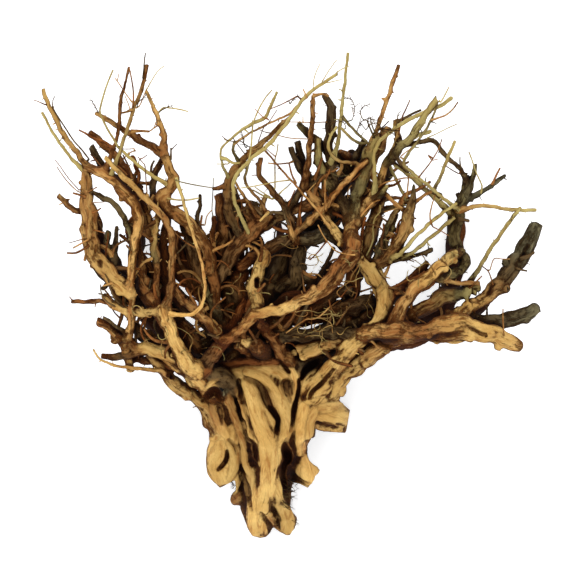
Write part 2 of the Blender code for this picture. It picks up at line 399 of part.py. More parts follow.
def grow(roots):
    """Grow the roots one after another, each from the wood so far, so that all hang together."""
    waiting = {name: np.array([placed(point) for point in points]) for name, points in roots.items()}
    first = next(iter(waiting))
    done = {first: curve_through(waiting.pop(first))}
    grown = done[first]
    seats = {name: seat(knots[-1], grown) for name, knots in waiting.items()}
    while waiting:
        name = min(waiting, key=lambda other: seats[other][0])
        knots = waiting.pop(name)
        carrier = seats.pop(name)[1]
        reach = carrier[:3] - knots[-1][:3]
        distance = max(np.linalg.norm(reach), SEAT_DEPTH * carrier[3])
        move = reach * (1.0 - SEAT_DEPTH * carrier[3] / distance)
        knots[-1][:3] += move
        knots[-2][2] += FOLLOWING_SHARE * move[2]
        done[name] = curve_through(knots)
        grown = np.vstack((grown, done[name]))
        for other, knots in waiting.items():
            seats[other] = min(seats[other], seat(knots[-1], done[name]), key=lambda found: found[0])
    return {name: done[name] for name in roots}


def bend(samples):
    """Largest distance from the samples to the straight line between the first and the last."""
    share = np.linspace(0.0, 1.0, len(samples))[:, None]
    straight = samples[0] + (samples[-1] - samples[0]) * share
    return np.linalg.norm(samples - straight, axis=1).max()


def length_of(samples):
    """Length along the samples."""
    return np.linalg.norm(np.diff(samples[:, :3], axis=0), axis=1).sum()


def with_few_corners(samples):
    """Keep only the samples that the bends of the root need; thick roots may stray a little further."""
    kept = [0]
    for last in range(2, len(samples)):
        run = samples[kept[-1]:last + 1]
        allowed = THIN_BEND + BEND_PER_RADIUS * run[0][3]
        if bend(run) > allowed or length_of(run) > LONGEST_STRAIGHT:
            kept.append(last - 1)
    kept.append(len(samples) - 1)
    return samples[kept]


def sides_for(samples):
    """Count of sides for a root, from its mean radius."""
    radius = samples[:, 3].mean()
    return next(sides for limit, sides in SIDES_BY_RADIUS if radius <= limit)


def tube(name, samples, home, uneven=0.0):
    """Sweep a round section along the samples, with both ends closed, and put it in the collection."""
    samples = with_few_corners(samples)
    curve = bpy.data.curves.new(name, "CURVE")
    curve.dimensions = "3D"
    curve.bevel_depth = 1.0
    curve.bevel_resolution = (sides_for(samples) - 4) // 2
    curve.use_fill_caps = True
    spline = curve.splines.new("POLY")
    spline.points.add(len(samples) - 1)
    for point, (x, y, z, radius) in zip(spline.points, samples * MILLIMETRE):
        point.co = (x, y, z, 1.0)
        point.radius = radius * (1.0 + random.uniform(-uneven, uneven))
    swept = bpy.data.objects.new(name, curve)
    home.objects.link(swept)
    bpy.context.view_layer.update()
    mesh = bpy.data.meshes.new_from_object(swept.evaluated_get(bpy.context.evaluated_depsgraph_get()))
    bpy.data.objects.remove(swept)
    weld(mesh)
    solid = bpy.data.objects.new(name, mesh)
    home.objects.link(solid)
    return solid


def weld(mesh):
    """Join the caps of a swept tube to its wall and turn all faces outward."""
    shell = bmesh.new()
    shell.from_mesh(mesh)
    bmesh.ops.remove_doubles(shell, verts=shell.verts, dist=WELD_DISTANCE)
    bmesh.ops.recalc_face_normals(shell, faces=shell.faces)
    shell.to_mesh(mesh)
    shell.free()


def ground_block(home):
    """A block under the ground, which cuts the wood where it has worn flat."""
    shell = bmesh.new()
    bmesh.ops.create_cube(shell, size=BLOCK_SIZE)
    bmesh.ops.translate(shell, verts=shell.verts, vec=(0.0, 0.0, -BLOCK_SIZE / 2))
    mesh = bpy.data.meshes.new("ground block")
    shell.to_mesh(mesh)
    shell.free()
    block = bpy.data.objects.new("ground block", mesh)
    home.objects.link(block)
    return block


def hide_helpers(home):
    """Helpers are drawn as wires and never rendered."""
    for helper in home.objects:
        helper.hide_render = True
        helper.display_type = "WIRE"


def boolean_with(wood, operation, home):
    """Apply one Boolean of the wood with all solids of a collection, then remove them."""
    hide_helpers(home)
    modifier = wood.modifiers.new(operation.lower(), "BOOLEAN")
    modifier.operation = operation
    modifier.operand_type = "COLLECTION"
    modifier.collection = home
    modifier.solver = "MANIFOLD"
    bpy.context.view_layer.update()
    fused = bpy.data.meshes.new_from_object(wood.evaluated_get(bpy.context.evaluated_depsgraph_get()))
    wood.modifiers.remove(modifier)
    wood.data = fused
    for helper in list(home.objects):
        bpy.data.objects.remove(helper, do_unlink=True)


def shells_of(shell):
    """Lists of the vertices that hang together."""
    left = set(shell.verts)
    groups = []
    while left:
        stack = [left.pop()]
        group = list(stack)
        while stack:
            for edge in stack.pop().link_edges:
                for vertex in edge.verts:
                    if vertex in left:
                        left.remove(vertex)
                        stack.append(vertex)
                        group.append(vertex)
        groups.append(group)
    return groups


def keep_outer_shell(mesh):
    """Fill sealed hollows and drop loose scraps by keeping the largest skin only."""
    shell = bmesh.new()
    shell.from_mesh(mesh)
    groups = sorted(shells_of(shell), key=len)
    for group in groups[:-1]:
        bmesh.ops.delete(shell, geom=group, context="VERTS")
    bmesh.ops.triangulate(shell, faces=shell.faces)
    shell.to_mesh(mesh)
    shell.free()


def build_driftwood():
    """Fuse the roots, cut the hollows and the worn underside, and finish the surface."""
    clear_scene()
    random.seed(RANDOM_SEED)
    home = new_collection("driftwood_root")
    roots = new_collection("roots")
    cutters = new_collection("cutters")
    grown = grow(ROOTS)
    trunk = next(iter(grown))
    wood = tube(trunk, grown.pop(trunk), home, UNEVENNESS)
    for name, samples in grown.items():
        tube(name, samples, roots, UNEVENNESS)
    boolean_with(wood, "UNION", roots)
    for name, points in HOLLOWS.items():
        tube(name, curve_through(np.array([placed(point) for point in points])), cutters)
    ground_block(cutters)
    boolean_with(wood, "DIFFERENCE", cutters)
    keep_outer_shell(wood.data)
    for helpers in (roots, cutters):
        bpy.data.collections.remove(helpers)
    wood.name = "driftwood_root"
    wood.data.name = "driftwood_root"
    wood.data.materials.clear()
    wood.data.materials.append(wood_material())
    wood.data.shade_smooth()
    wood.data.set_sharp_from_angle(angle=SHARP_ANGLE)


build_driftwood()
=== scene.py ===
"""Looks of the driftwood root: sawn root crown wood with bark, grooves, thin stems and hairs.

The thick roots are fused in a fine grid of distances and skinned; thin stems are swept tubes.
Modelling is in millimetres, as in the part's own source; meshes are made in metres.
"""

import math

import bpy
import numpy as np
import openvdb
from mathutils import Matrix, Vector

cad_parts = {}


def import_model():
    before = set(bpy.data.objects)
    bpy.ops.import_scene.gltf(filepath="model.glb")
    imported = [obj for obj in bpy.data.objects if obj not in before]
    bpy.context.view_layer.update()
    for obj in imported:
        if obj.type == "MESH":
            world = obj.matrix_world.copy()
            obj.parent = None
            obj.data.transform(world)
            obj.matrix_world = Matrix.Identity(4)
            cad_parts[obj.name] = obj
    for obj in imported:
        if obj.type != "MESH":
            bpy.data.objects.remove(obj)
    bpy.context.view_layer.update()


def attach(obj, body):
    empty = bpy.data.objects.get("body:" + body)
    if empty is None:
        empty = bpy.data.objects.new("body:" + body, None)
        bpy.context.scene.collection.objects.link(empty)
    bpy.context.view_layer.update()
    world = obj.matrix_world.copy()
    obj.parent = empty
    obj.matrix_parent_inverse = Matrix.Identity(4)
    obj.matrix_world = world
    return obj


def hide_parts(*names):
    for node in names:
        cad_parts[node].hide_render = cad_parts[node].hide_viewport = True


MILLIMETRE = 0.001

# The sheet that the roots are measured on, as in the CAD: millimetres across and down as seen
# from one eye point above its middle.
SHEET_MIDDLE = (285.0, 285.0)
SHEET_ORIGIN = (292.4, 302.6)
SHEET_HEIGHT = 120.0
SHEET_WIDTH = 570.0
EYE_DISTANCE = 4000.0

# Each root has its tones from the free end to the base, and its points (across, down, height
# above the ground, radius) in millimetres. The last point lies inside the root that carries it.

ROOTS = {
    "trunk core": ("bark tan", [(268, 486, 26, 24), (268, 450, 42, 38), (268, 410, 61, 44),
        (266, 370, 84, 38), (262, 335, 102, 26)]),
    "foot stub": ("pale", [(262, 536, 8, 13), (260, 522, 12, 15), (261, 506, 28, 20),
        (264, 482, 44, 23), (265, 450, 64, 24), (262, 412, 88, 23), (258, 378, 106, 20),
        (262, 350, 115, 18)]),
    "left lobe": ("pale", [(225, 483, 39, 15), (226, 464, 50, 20), (227, 436, 69, 20),
        (223, 408, 88, 18), (222, 384, 105, 16), (234, 358, 114, 16)]),
    "small fork": ("tan", [(286, 529, 12, 9), (284, 512, 22, 11), (276, 482, 39, 15),
        (272, 440, 66, 16)]),
    "right lobe": ("pale tan", [(306, 485, 31, 12), (304, 469, 44, 15), (295, 447, 60, 14),
        (296, 418, 82, 19), (298, 380, 103, 20), (290, 348, 110, 16)]),
    "right stub": ("pale", [(334, 431, 67, 13), (332, 415, 77, 15.5), (320, 398, 90, 16),
        (308, 376, 98, 18)]),
    "main pale root": ("pale pale tan", [(164, 310, 185, 6.5), (167, 322, 182, 6.5), (172, 337, 175, 7),
        (180, 352, 162, 8), (190, 366, 147, 9), (202, 379, 130, 11), (218, 394, 113, 15)]),
    "plate root": ("pale", [(137, 349, 142, 4.5), (150, 348, 145, 6), (163, 353, 145, 7),
        (177, 362, 141, 8), (194, 377, 128, 10)]),
    "flange rim": ("tan pale tan", [(144, 349, 140, 4), (161, 366, 130, 5.5), (172, 382, 120, 7),
        (189, 393, 111, 8), (207, 408, 98, 10), (218, 432, 80, 14)]),
    "rotten lump": ("dark", [(205, 370, 134, 7), (218, 382, 125, 12), (232, 396, 110, 13)]),
    "down stub": ("pale tan", [(131, 371, 127, 4), (128, 356, 137, 4.4), (124, 340, 145, 5)]),
    "brown log": ("bark", [(124, 358, 119, 3.4), (141, 360, 123, 4.2), (160, 361, 126, 4.6),
        (180, 370, 124, 7)]),
    "flat dark piece": ("bark dark bark", [(101, 356, 132, 3), (113, 357, 134, 3.6), (126, 356, 137, 4),
        (140, 352, 140, 5)]),
    "round dark stub": ("bark", [(97, 321, 142, 4.6), (108, 327, 145, 4.8), (118, 333, 145, 4.8),
        (131, 341, 142, 5)]),
    "end-on stub": ("tan pale", [(115, 341, 165, 4.4), (118, 339, 152, 4.6), (124, 338, 140, 5)]),
    "pale upright": ("tan", [(129, 282, 175, 4), (131, 298, 175, 3.4), (132, 318, 169, 3.6),
        (129, 332, 158, 4.2), (123, 345, 144, 5.4)]),
    "pale bridge": ("tan pale tan", [(130, 313, 169, 3.4), (143, 313, 175, 4), (154, 312, 180, 4.6),
        (166, 311, 185, 5.6)]),
    "left finger": ("bark", [(71, 301.5, 152, 2.2), (85, 301.5, 152, 2.4), (100, 301.5, 155, 2.5),
        (116, 304, 159, 2.8), (131, 308, 165, 3.2)]),
    "pale finger": ("tan pale", [(103, 295, 160, 3.2), (110, 302, 161, 3.6), (118, 308, 164, 3.8),
        (131, 316, 166, 4)]),
    "olive finger": ("olive", [(102, 289, 130, 2.2), (109, 284, 132, 2.6), (120, 278, 142, 3.4)]),
    "left limb": ("tan tan pale", [(86, 163, 170, 3.6), (86, 180, 165, 5), (87, 197, 161, 6.2),
        (89, 215, 159, 7.6), (90, 236, 158, 7.8), (95, 255, 159, 7.4), (107, 272, 162, 7.8),
        (121, 285, 168, 7.4), (132, 295, 172, 5.6)]),
    "under limb": ("dark", [(90, 256, 140, 3.4), (96, 265, 138, 4.2), (107, 278, 140, 4.6),
        (124, 294, 150, 5)]),
    "outer horn": ("pale tan", [(43, 88.5, 185, 2.2), (45, 97, 184, 2.3), (50, 107, 184, 2.4),
        (61, 130, 180, 2.6), (74, 149, 175, 2.8), (87, 167, 169, 4)]),
    "green horn": ("straw", [(42, 112.5, 175, 1.3), (52, 131, 174, 1.4), (64, 149, 172, 1.6),
        (76, 163, 170, 1.8), (86, 173, 166, 2.6)]),
    "grey side stub": ("tan bark", [(58, 195, 155, 2.8), (65, 202, 155, 3), (73, 209, 155, 3.2),
        (86, 216, 156, 4)]),
    "dark fork one": ("bark", [(89, 133, 148, 3.8), (98, 139, 145, 3.6), (112, 152, 141, 4),
        (123, 167, 139, 4.6), (134, 184, 142, 5), (140, 204, 158, 5)]),
    "dark fork two": ("dark", [(91, 146, 132, 3.4), (96, 156, 132, 3.6), (103, 166, 132, 4),
        (113, 178, 138, 4.6), (126, 194, 152, 5)]),
    "brown branch": ("tan bark", [(95, 113, 185, 2.2), (105, 118, 184, 2.4), (122, 129, 181, 3),
        (140, 140, 179, 3.6), (152, 147, 178, 4), (165, 155, 178, 4.2)]),
    "first wand": ("bark", [(129, 67, 195, 1.2), (124, 88, 192, 1.4), (120, 105, 190, 1.9),
        (119, 128, 185, 1.8), (113, 150, 176, 2), (106, 168, 172, 3)]),
    "second wand": ("bark straw", [(147, 65, 210, 2), (142, 88, 205, 2), (134, 108, 200, 1.9),
        (128, 127, 195, 1.9), (122, 145, 191, 1.9), (115, 165, 188, 2), (108, 182, 178, 2.6)]),
    "left cream stem": ("straw", [(119, 148, 188, 1.3), (127, 155, 189, 1.5), (144, 170, 186, 1.7),
        (155, 177, 184, 1.8), (170, 186, 180, 2.2)]),
    "hooked stub": ("rust", [(132, 155, 174, 2), (137, 169, 174, 2), (139, 178, 172, 2.1),
        (134, 190, 174, 3)]),
    "orange root": ("pale tan bark", [(105, 157, 194, 2.2), (117, 170, 195, 2.8), (138, 191, 194, 3.2),
        (157, 210, 192, 3.4), (170, 229, 191, 3.5), (172, 248, 190, 3.5), (172, 270, 189, 3.5),
        (170, 292, 188, 4), (165, 310, 185, 5.5)]),
    "bowed pale branch": ("tan", [(88, 167, 172, 4.2), (104, 174, 178, 5.2), (120, 187, 180, 6.2),
        (132, 200, 180, 6), (138, 216, 180, 5.4), (138, 231, 180, 4.6), (134, 248, 179, 4),
        (132, 268, 176, 4), (129, 290, 174, 4.4)]),
    "olive upright": ("tan bark", [(118, 177, 170, 3), (134, 194, 168, 3.6), (145, 210, 164, 4),
        (151, 229, 160, 4), (156, 252, 158, 3.5), (157, 276, 158, 3.5), (156, 298, 164, 3.8),
        (162, 312, 178, 5)]),
    "olive arc": ("dark olive", [(91, 191, 166, 1.4), (100, 196, 168, 2.8), (115, 205, 168, 3),
        (127, 224, 169, 3), (133, 248, 171, 3.4)]),
    "olive stub": ("olive dark", [(109, 231, 140, 3), (107, 243, 139, 3.6), (110, 255, 140, 4),
        (118, 276, 148, 5)]),
    "pale inner upright": ("pale pale olive", [(160, 206, 171, 3), (156, 228, 166, 3),
        (153, 246, 161, 3.2), (155, 262, 159, 3.4)]),
    "orange upper limb": ("pale tan bark", [(146, 90, 200, 1.8), (150, 100, 198, 2),
        (159, 120, 192, 2.6), (164, 139, 186, 3.4), (164, 155, 181, 4.2)]),
    "swan limb": ("tan tan bark", [(163, 152, 180, 4.2), (168, 165, 181, 4.6), (174, 178, 181, 5),
        (169, 189, 180, 5.4), (162, 199, 179, 6), (166, 209, 178, 6.2), (178, 216, 175, 6.4),
        (192, 227, 171, 6.2), (202, 240, 165, 5.8), (209, 256, 156, 5.8), (213, 278, 146, 6),
        (215, 300, 138, 7)]),
    "black branch": ("bark dark bark", [(164, 156, 158, 3), (156, 171, 148, 3.2), (153, 188, 144, 3.5),
        (155, 203, 148, 3.6), (167, 214, 160, 4.5)]),
    "front stem": ("straw tan pale", [(176, 178, 188, 1.8), (183, 200, 195, 1.6), (190, 225, 201, 1.7),
        (198, 250, 205, 1.7), (204, 275, 205, 1.7), (204, 298, 202, 1.7), (196, 312, 199, 1.8),
        (179, 315, 194, 2), (165, 312, 186, 3)]),
    "dark peg": ("dark", [(200, 194, 160, 2), (200, 206, 159, 2), (197, 221, 160, 2.6),
        (199, 236, 161, 3.4)]),
    "red peg": ("rust olive", [(214, 216, 142, 2.4), (213, 235, 144, 2.6), (212, 256, 144, 3),
        (213, 282, 141, 4)]),
    "pale plank": ("bark tan rust", [(171, 284, 185, 3.4), (182, 299, 181, 4), (196, 312, 175, 4.2),
        (208, 323, 165, 4.6), (222, 336, 150, 6)]),
    "olive plank": ("olive", [(205, 284, 152, 2.8), (209, 298, 148, 3), (216, 318, 140, 4)]),
    "red-brown root": ("bark dark dark", [(268, 214, 140, 7.6), (247, 238, 142, 8),
        (231, 257, 140, 7.4), (219, 276, 138, 6.8), (214, 292, 135, 6.6), (216, 309, 132, 6.4),
        (222, 326, 130, 7), (234, 346, 120, 10)]),
    "dark long limb": ("tan tan dark", [(291, 116, 188, 1.5), (282, 124, 184, 2.4),
        (262, 143, 176, 3.2), (243, 160, 169, 4.2), (233, 173, 161, 4.6), (228, 189, 154, 4.8),
        (228, 206, 146, 4.6), (234, 224, 141, 5.2), (243, 240, 140, 6)]),
    "long cream stem": ("straw", [(337, 74, 220, 1.5), (325, 82, 218, 1.6), (306, 96, 212, 1.8),
        (290, 118, 205, 1.9), (270, 143, 198, 2), (250, 160, 190, 2), (235, 178, 182, 2),
        (234, 198, 174, 2), (241, 217, 161, 1.9), (250, 234, 148, 2)]),
    "loop stem": ("straw", [(277, 92, 205, 1.3), (273, 101, 204, 1.5), (265, 117, 200, 1.8),
        (254, 123, 198, 1.8), (240, 131, 195, 1.4), (229, 141, 190, 1.1), (221, 149, 185, 1.1),
        (222, 163, 179, 1.2), (230, 182, 165, 1.8)]),
    "short drop": ("olive", [(235, 141, 189, 1.3), (233, 151, 185, 1.4), (242, 166, 174, 2)]),
    "bent black branch": ("bark dark", [(261, 158, 170, 2.6), (259, 175, 165, 2.9),
        (272, 190, 160, 3.1), (284, 206, 155, 3.4), (291, 221, 150, 3.8), (296, 242, 140, 5)]),
    "olive bow": ("olive bark", [(249, 161, 182, 1.3), (245, 180, 176, 1.5), (253, 193, 170, 1.5),
        (263, 205, 161, 1.8), (272, 220, 149, 2)]),
    "long diagonal": ("bark tan pale", [(263, 148, 188, 1), (280, 168, 184, 1), (297, 187, 181, 1.1),
        (318, 211, 179, 1.4), (333, 231, 174, 2.2), (350, 250, 165, 3.8), (364, 265, 160, 3.4)]),
    "prong one": ("dark", [(291, 147, 172, 2.9), (294, 158, 169, 3.2), (303, 176, 160, 4.2)]),
    "prong two": ("dark", [(297, 141, 160, 3.4), (301, 158, 159, 3.8), (307, 177, 155, 5),
        (315, 198, 150, 7), (324, 220, 148, 9)]),
    "upright tan branch": ("tan bark", [(313, 95, 195, 2.2), (313, 112, 192, 2.6), (311, 130, 189, 2.8),
        (309, 150, 182, 3), (307, 168, 174, 3.2), (309, 188, 160, 4.4)]),
    "black upright": ("dark", [(324, 94, 168, 3), (331, 108, 166, 4.2), (330, 130, 164, 4.6),
        (329, 150, 161, 4.6), (333, 175, 158, 4.8), (338, 196, 152, 5.4), (345, 218, 150, 7)]),
    "black slant": ("olive", [(298, 123, 155, 2.8), (307, 133, 154, 3.6), (320, 143, 152, 4),
        (334, 157, 149, 4.4), (345, 178, 145, 5.5)]),
    "dark block": ("bark", [(338, 152, 140, 4.6), (348, 160, 140, 6), (357, 176, 138, 7.6),
        (360, 198, 138, 9), (352, 224, 142, 9)]),
    "tall green stem": ("straw", [(348, 53, 212, 1.4), (345, 80, 208, 1.5), (341, 116, 200, 1.8),
        (338, 142, 191, 2), (333, 162, 178, 2.6)]),
    "green tie": ("straw olive bark", [(340, 127, 196, 1.4), (355, 141, 192, 1.5), (370, 144, 188, 1.6),
        (382, 149, 180, 2.4)]),
    "pale hook": ("straw bark", [(337, 126, 199, 1.6), (328, 143, 198, 1.8), (333, 157, 195, 2),
        (345, 162, 192, 2.2), (358, 164, 188, 2.4), (370, 168, 178, 3.4)]),
    "leaning stick": ("tan", [(399, 64.5, 198, 2.2), (391, 88, 195, 2.3), (383, 112, 191, 2.4),
        (376, 131, 186, 2.5), (367, 146, 179, 3.2)]),
    "striped limb": ("straw olive", [(378, 136, 185, 2.6), (372, 146, 179, 5), (367, 160, 171, 5.8),
        (362, 178, 161, 6.2), (357, 200, 154, 7.2), (350, 226, 162, 8)]),
    "pale arc stem": ("straw", [(452, 97.5, 202, 1.9), (440, 106, 201, 2), (420, 114, 200, 2),
        (400, 125, 198, 2), (381, 140, 192, 2), (374, 156, 186, 2), (375, 174, 180, 2.1),
        (374, 192, 168, 3)]),
    "dark peg top": ("tan pale tan", [(396, 119, 172, 3), (397, 128, 171, 2.8), (398, 142, 170, 3.2),
        (391, 160, 168, 4)]),
    "tan diagonal": ("tan", [(368, 160, 182, 2.4), (355, 172, 182, 2.9), (340, 188, 179, 3),
        (326, 206, 171, 3.4), (312, 224, 158, 4.6)]),
    "orange thick root": ("pale tan tan", [(399, 132, 181, 2.2), (394, 147, 176, 2.5),
        (387, 162, 171, 3.2), (382, 177, 166, 4.6), (375, 194, 161, 6), (364, 209, 160, 6.4),
        (353, 223, 168, 6.8), (350, 241, 188, 7.6)]),
    "dark short one": ("dark", [(307, 176, 160, 3.2), (299, 193, 156, 3.6), (291, 209, 149, 4.4)]),
    "red short one": ("tan", [(266, 195, 150, 2.6), (262, 208, 148, 3.2), (258, 224, 140, 4.4)]),
    "dark short two": ("tan bark", [(249, 202, 138, 3.2), (250, 213, 135, 4.2), (254, 230, 132, 5.4)]),
    "rust string": ("tan bark", [(233, 177, 175, 1.2), (241, 192, 169, 1.8), (252, 208, 159, 2.2),
        (261, 222, 145, 3.2)]),
    "olive cross root": ("olive bark", [(248, 240, 135, 5.4), (262, 227, 138, 5.2), (276, 219, 140, 5),
        (292, 211, 140, 5), (312, 204, 138, 6.5)]),
    "rust cross root": ("bark tan bark", [(289, 238, 148, 3.6), (304, 225, 152, 3.6),
        (319, 214, 152, 4), (336, 208, 148, 5)]),
    "pale knuckle": ("bark tan bark", [(287, 218, 152, 2.2), (291, 231, 155, 3), (296, 246, 145, 5)]),
    "rust slab": ("bark tan bark", [(308, 190, 160, 3.4), (318, 203, 160, 4.4), (330, 219, 158, 5.4)]),
    "thick stick": ("straw olive", [(437, 100, 205, 3.3), (428, 112, 202, 3.6), (413, 135, 195, 3.9),
        (400, 148, 188, 4.2), (389, 163, 172, 5)]),
    "yellow zigzag": ("olive straw", [(437, 107, 212, 1.1), (427, 128, 210, 1.2), (416, 143, 208, 1.3),
        (404, 161, 202, 1.6), (407, 168, 200, 1.7), (425, 183, 195, 1.7), (446, 200, 186, 1.8),
        (460, 211, 168, 2.8)]),
    "short cross stick": ("straw", [(431, 131, 188, 1.8), (415, 137, 188, 2), (399, 142, 184, 2.2)]),
    "black angular branch": ("dark", [(409, 172, 180, 2.3), (395, 156, 184, 2.4), (400, 148, 185, 2.3),
        (415, 143, 185, 2.3), (433, 141, 184, 2.3), (446, 156, 180, 2.3), (461, 170, 170, 2.4),
        (468, 184, 155, 3.4)]),
    "green stick": ("straw olive", [(455, 141, 195, 1.5), (447, 160, 191, 1.7), (439, 180, 184, 1.7),
        (434, 196, 172, 2)]),
    "tan run one": ("straw", [(388, 158, 170, 2.6), (410, 176, 166, 2.5), (430, 193, 160, 2.6),
        (452, 216, 148, 4)]),
    "tan run two": ("straw olive", [(389, 164, 160, 1.6), (401, 190, 159, 1.6), (410, 204, 170, 2.4)]),
    "tan tie": ("tan", [(436, 190, 172, 1.5), (420, 198, 174, 1.6), (406, 207, 172, 2)]),
    "grey peg": ("straw olive bark", [(387, 186, 185, 2.4), (382, 193, 174, 3), (374, 201, 160, 4.4)]),
    "spike limb": ("olive tan bark", [(414, 184, 188, 1), (413, 195, 184, 3), (411, 207, 180, 5),
        (407, 221, 175, 6), (401, 237, 169, 6.4), (394, 250, 162, 6.4), (383, 261, 158, 6),
        (370, 268, 155, 6.6)]),
    "rust run": ("tan olive dark", [(410, 197, 172, 2.4), (398, 209, 168, 2.8), (387, 227, 161, 3),
        (382, 243, 158, 3.4), (376, 262, 154, 5)]),
    "right dark limb": ("olive", [(466, 175, 152, 3.6), (466, 190, 149, 4.6), (462, 203, 146, 6),
        (457, 219, 144, 6.4), (454, 236, 144, 6.4), (458, 251, 146, 6.2), (464, 263, 150, 5.4),
        (456, 273, 152, 5), (440, 278, 162, 5.4)]),
    "right dark twin": ("olive grey", [(475, 164, 160, 2.4), (473, 178, 156, 2.6), (467, 196, 149, 4)]),
    "right inner peg": ("dark", [(457, 193, 138, 2.4), (460, 201, 140, 3), (461, 212, 142, 4.4)]),
    "right brown branch": ("grey", [(506, 175, 150, 2.2), (488, 188, 149, 2.5), (475, 195, 148, 3.2),
        (464, 200, 146, 4.4)]),
    "right tan rod": ("straw tan", [(536, 210, 162, 1.8), (515, 210, 162, 1.9), (487, 206, 160, 1.9),
        (471, 207, 156, 2.1), (458, 212, 148, 3.6)]),
    "right leaning rod": ("straw olive", [(521, 207, 170, 1.9), (505, 228, 168, 2),
        (488, 253, 164, 2.1), (475, 275, 159, 2.5), (464, 292, 152, 4)]),
    "tan stem one": ("straw", [(457, 203, 170, 1.8), (440, 215, 176, 1.9), (418, 234, 176, 2),
        (402, 252, 171, 2.3), (390, 261, 160, 3.6)]),
    "tan stem two": ("straw", [(455, 217, 160, 2), (430, 238, 168, 1.9), (411, 253, 165, 2.1),
        (394, 259, 159, 3.4)]),
    "dark rod": ("dark", [(433, 249, 160, 2.2), (420, 254, 160, 2.3), (404, 259, 160, 2.6),
        (388, 264, 156, 4)]),
    "far right root": ("grey grey dark tan pale pale", [(536, 225, 128, 7.2), (530, 239, 130, 8),
        (522, 253, 132, 8.6), (513, 267, 136, 8.6), (503, 281, 140, 8.2), (491, 293, 144, 7.4),
        (478, 303, 148, 6.4), (464, 310, 152, 6), (450, 320, 165, 8)]),
    "far right spur": ("grey", [(505, 261, 150, 3.4), (512, 268, 140, 5)]),
    "right pale root": ("olive pale tan bark", [(462, 250, 150, 4.6), (448, 260, 170, 6),
        (436, 270, 184, 6.8), (424, 281, 188, 6.8), (412, 293, 189, 6.6), (402, 306, 189, 7),
        (394, 322, 188, 9)]),
    "right dark root": ("straw tan bark", [(480, 287, 142, 4.4), (462, 291, 145, 6.6),
        (446, 296, 150, 7.4), (432, 304, 154, 7.6), (416, 313, 156, 7.6), (400, 326, 158, 9),
        (384, 336, 155, 10)]),
    "woody strip": ("tan", [(480, 283, 170, 2.2), (462, 283, 171, 2.4), (446, 281, 172, 2.8),
        (436, 284, 172, 4)]),
    "olive stub right": ("straw olive", [(468, 285, 165, 3.4), (466, 293, 162, 5), (458, 302, 155, 6)]),
    "low right root": ("tan pale pale tan bark tan tan", [(521, 347, 165, 5), (509, 342, 170, 6.8),
        (495, 335, 175, 8), (474, 330, 182, 9.8), (450, 327, 190, 11.5), (424, 332, 192, 9),
        (402, 334, 191, 10.5), (382, 332, 182, 10), (366, 334, 170, 9)]),
    "low right keel": ("pale", [(484, 336, 162, 4), (468, 336, 165, 5), (452, 336, 169, 7),
        (430, 334, 172, 7), (408, 338, 170, 8)]),
    "right ledge": ("grey dark bark", [(537, 307, 134, 6.8), (529, 312, 135, 7.8), (516, 318, 138, 8.4),
        (502, 321, 140, 8), (486, 320, 142, 6), (470, 318, 146, 6), (454, 315, 151, 6),
        (438, 318, 165, 8)]),
    "great arch": ("tan bark tan pale tan rust dark", [(352, 236, 185, 7.4), (351, 250, 202, 8),
        (343, 264, 211, 8.8), (333, 277, 216, 8.2), (322, 288, 216, 7.4), (307, 298, 214, 6.4),
        (290, 306, 209, 5.6), (272, 311, 202, 5.5), (256, 315, 194, 5.5), (244, 325, 182, 5.1),
        (232, 337, 168, 5.1), (218, 347, 150, 6.4), (204, 360, 136, 9)]),
    "bent pale root": ("pale", [(346, 244, 150, 8), (364, 263, 152, 7.4), (377, 280, 158, 7),
        (384, 296, 165, 7.2), (385, 309, 170, 7.2), (379, 321, 171, 7.2), (366, 333, 168, 7.4),
        (350, 347, 159, 8), (336, 363, 144, 8.4), (322, 382, 126, 11), (308, 404, 106, 15)]),
    "low bent root": ("tan pale pale", [(394, 338, 168, 8.4), (374, 352, 155, 8.4),
        (358, 364, 140, 8.4), (344, 375, 126, 8.6), (333, 388, 114, 10), (326, 402, 99, 13)]),
    "spongy upright": ("pale", [(264, 254, 152, 5), (258, 272, 159, 6.2), (255, 288, 162, 6.4),
        (256, 303, 175, 6), (258, 316, 191, 5.2)]),
    "shadow cross root": ("rust dark grey", [(238, 268, 135, 6), (256, 257, 135, 6), (274, 246, 136, 6),
        (292, 238, 139, 6.4), (312, 238, 142, 7), (330, 233, 146, 8), (346, 236, 155, 9)]),
    "black prop": ("dark", [(334, 247, 160, 2.2), (328, 260, 155, 2.1), (320, 280, 148, 2.5),
        (313, 300, 138, 4)]),
    "inner red root": ("rust tan", [(259, 314, 185, 4), (262, 325, 160, 5.4), (270, 337, 146, 6),
        (281, 351, 134, 6.6), (291, 367, 121, 8.4), (297, 386, 111, 11)]),
    "inner dark root": ("dark", [(238, 332, 135, 5.4), (262, 335, 139, 5.6), (286, 336, 142, 6),
        (311, 334, 146, 6), (336, 332, 152, 6), (357, 330, 161, 6.4)]),
    "inner pale strip": ("pale tan", [(296, 349, 132, 4), (315, 345, 135, 5.4), (334, 342, 141, 6),
        (352, 338, 152, 6.6)]),
    "knot stub": ("bark dark", [(258, 347, 165, 8.4), (262, 350, 142, 9), (266, 356, 119, 11)]),
    "knot collar": ("tan bark", [(242, 343, 155, 6), (246, 347, 140, 8), (252, 354, 122, 10)]),
    "crown core": ("dark", [(300, 236, 100, 11), (286, 258, 98, 14), (274, 286, 95, 16),
        (266, 314, 98, 19), (264, 346, 98, 26)]),
    "crown core right": ("dark", [(380, 304, 125, 9), (362, 322, 115, 13), (334, 340, 105, 18),
        (300, 360, 96, 26)]),
    "crown core top": ("dark", [(352, 204, 118, 8), (330, 217, 108, 11), (308, 229, 100, 12),
        (288, 252, 95, 13)]),
    "back left root": ("bark", [(140, 194, 9, 6), (139, 212, 5, 8), (137, 240, 12, 8.4),
        (136, 268, 26, 9), (144, 302, 40, 10), (166, 336, 52, 11), (200, 352, 65, 13),
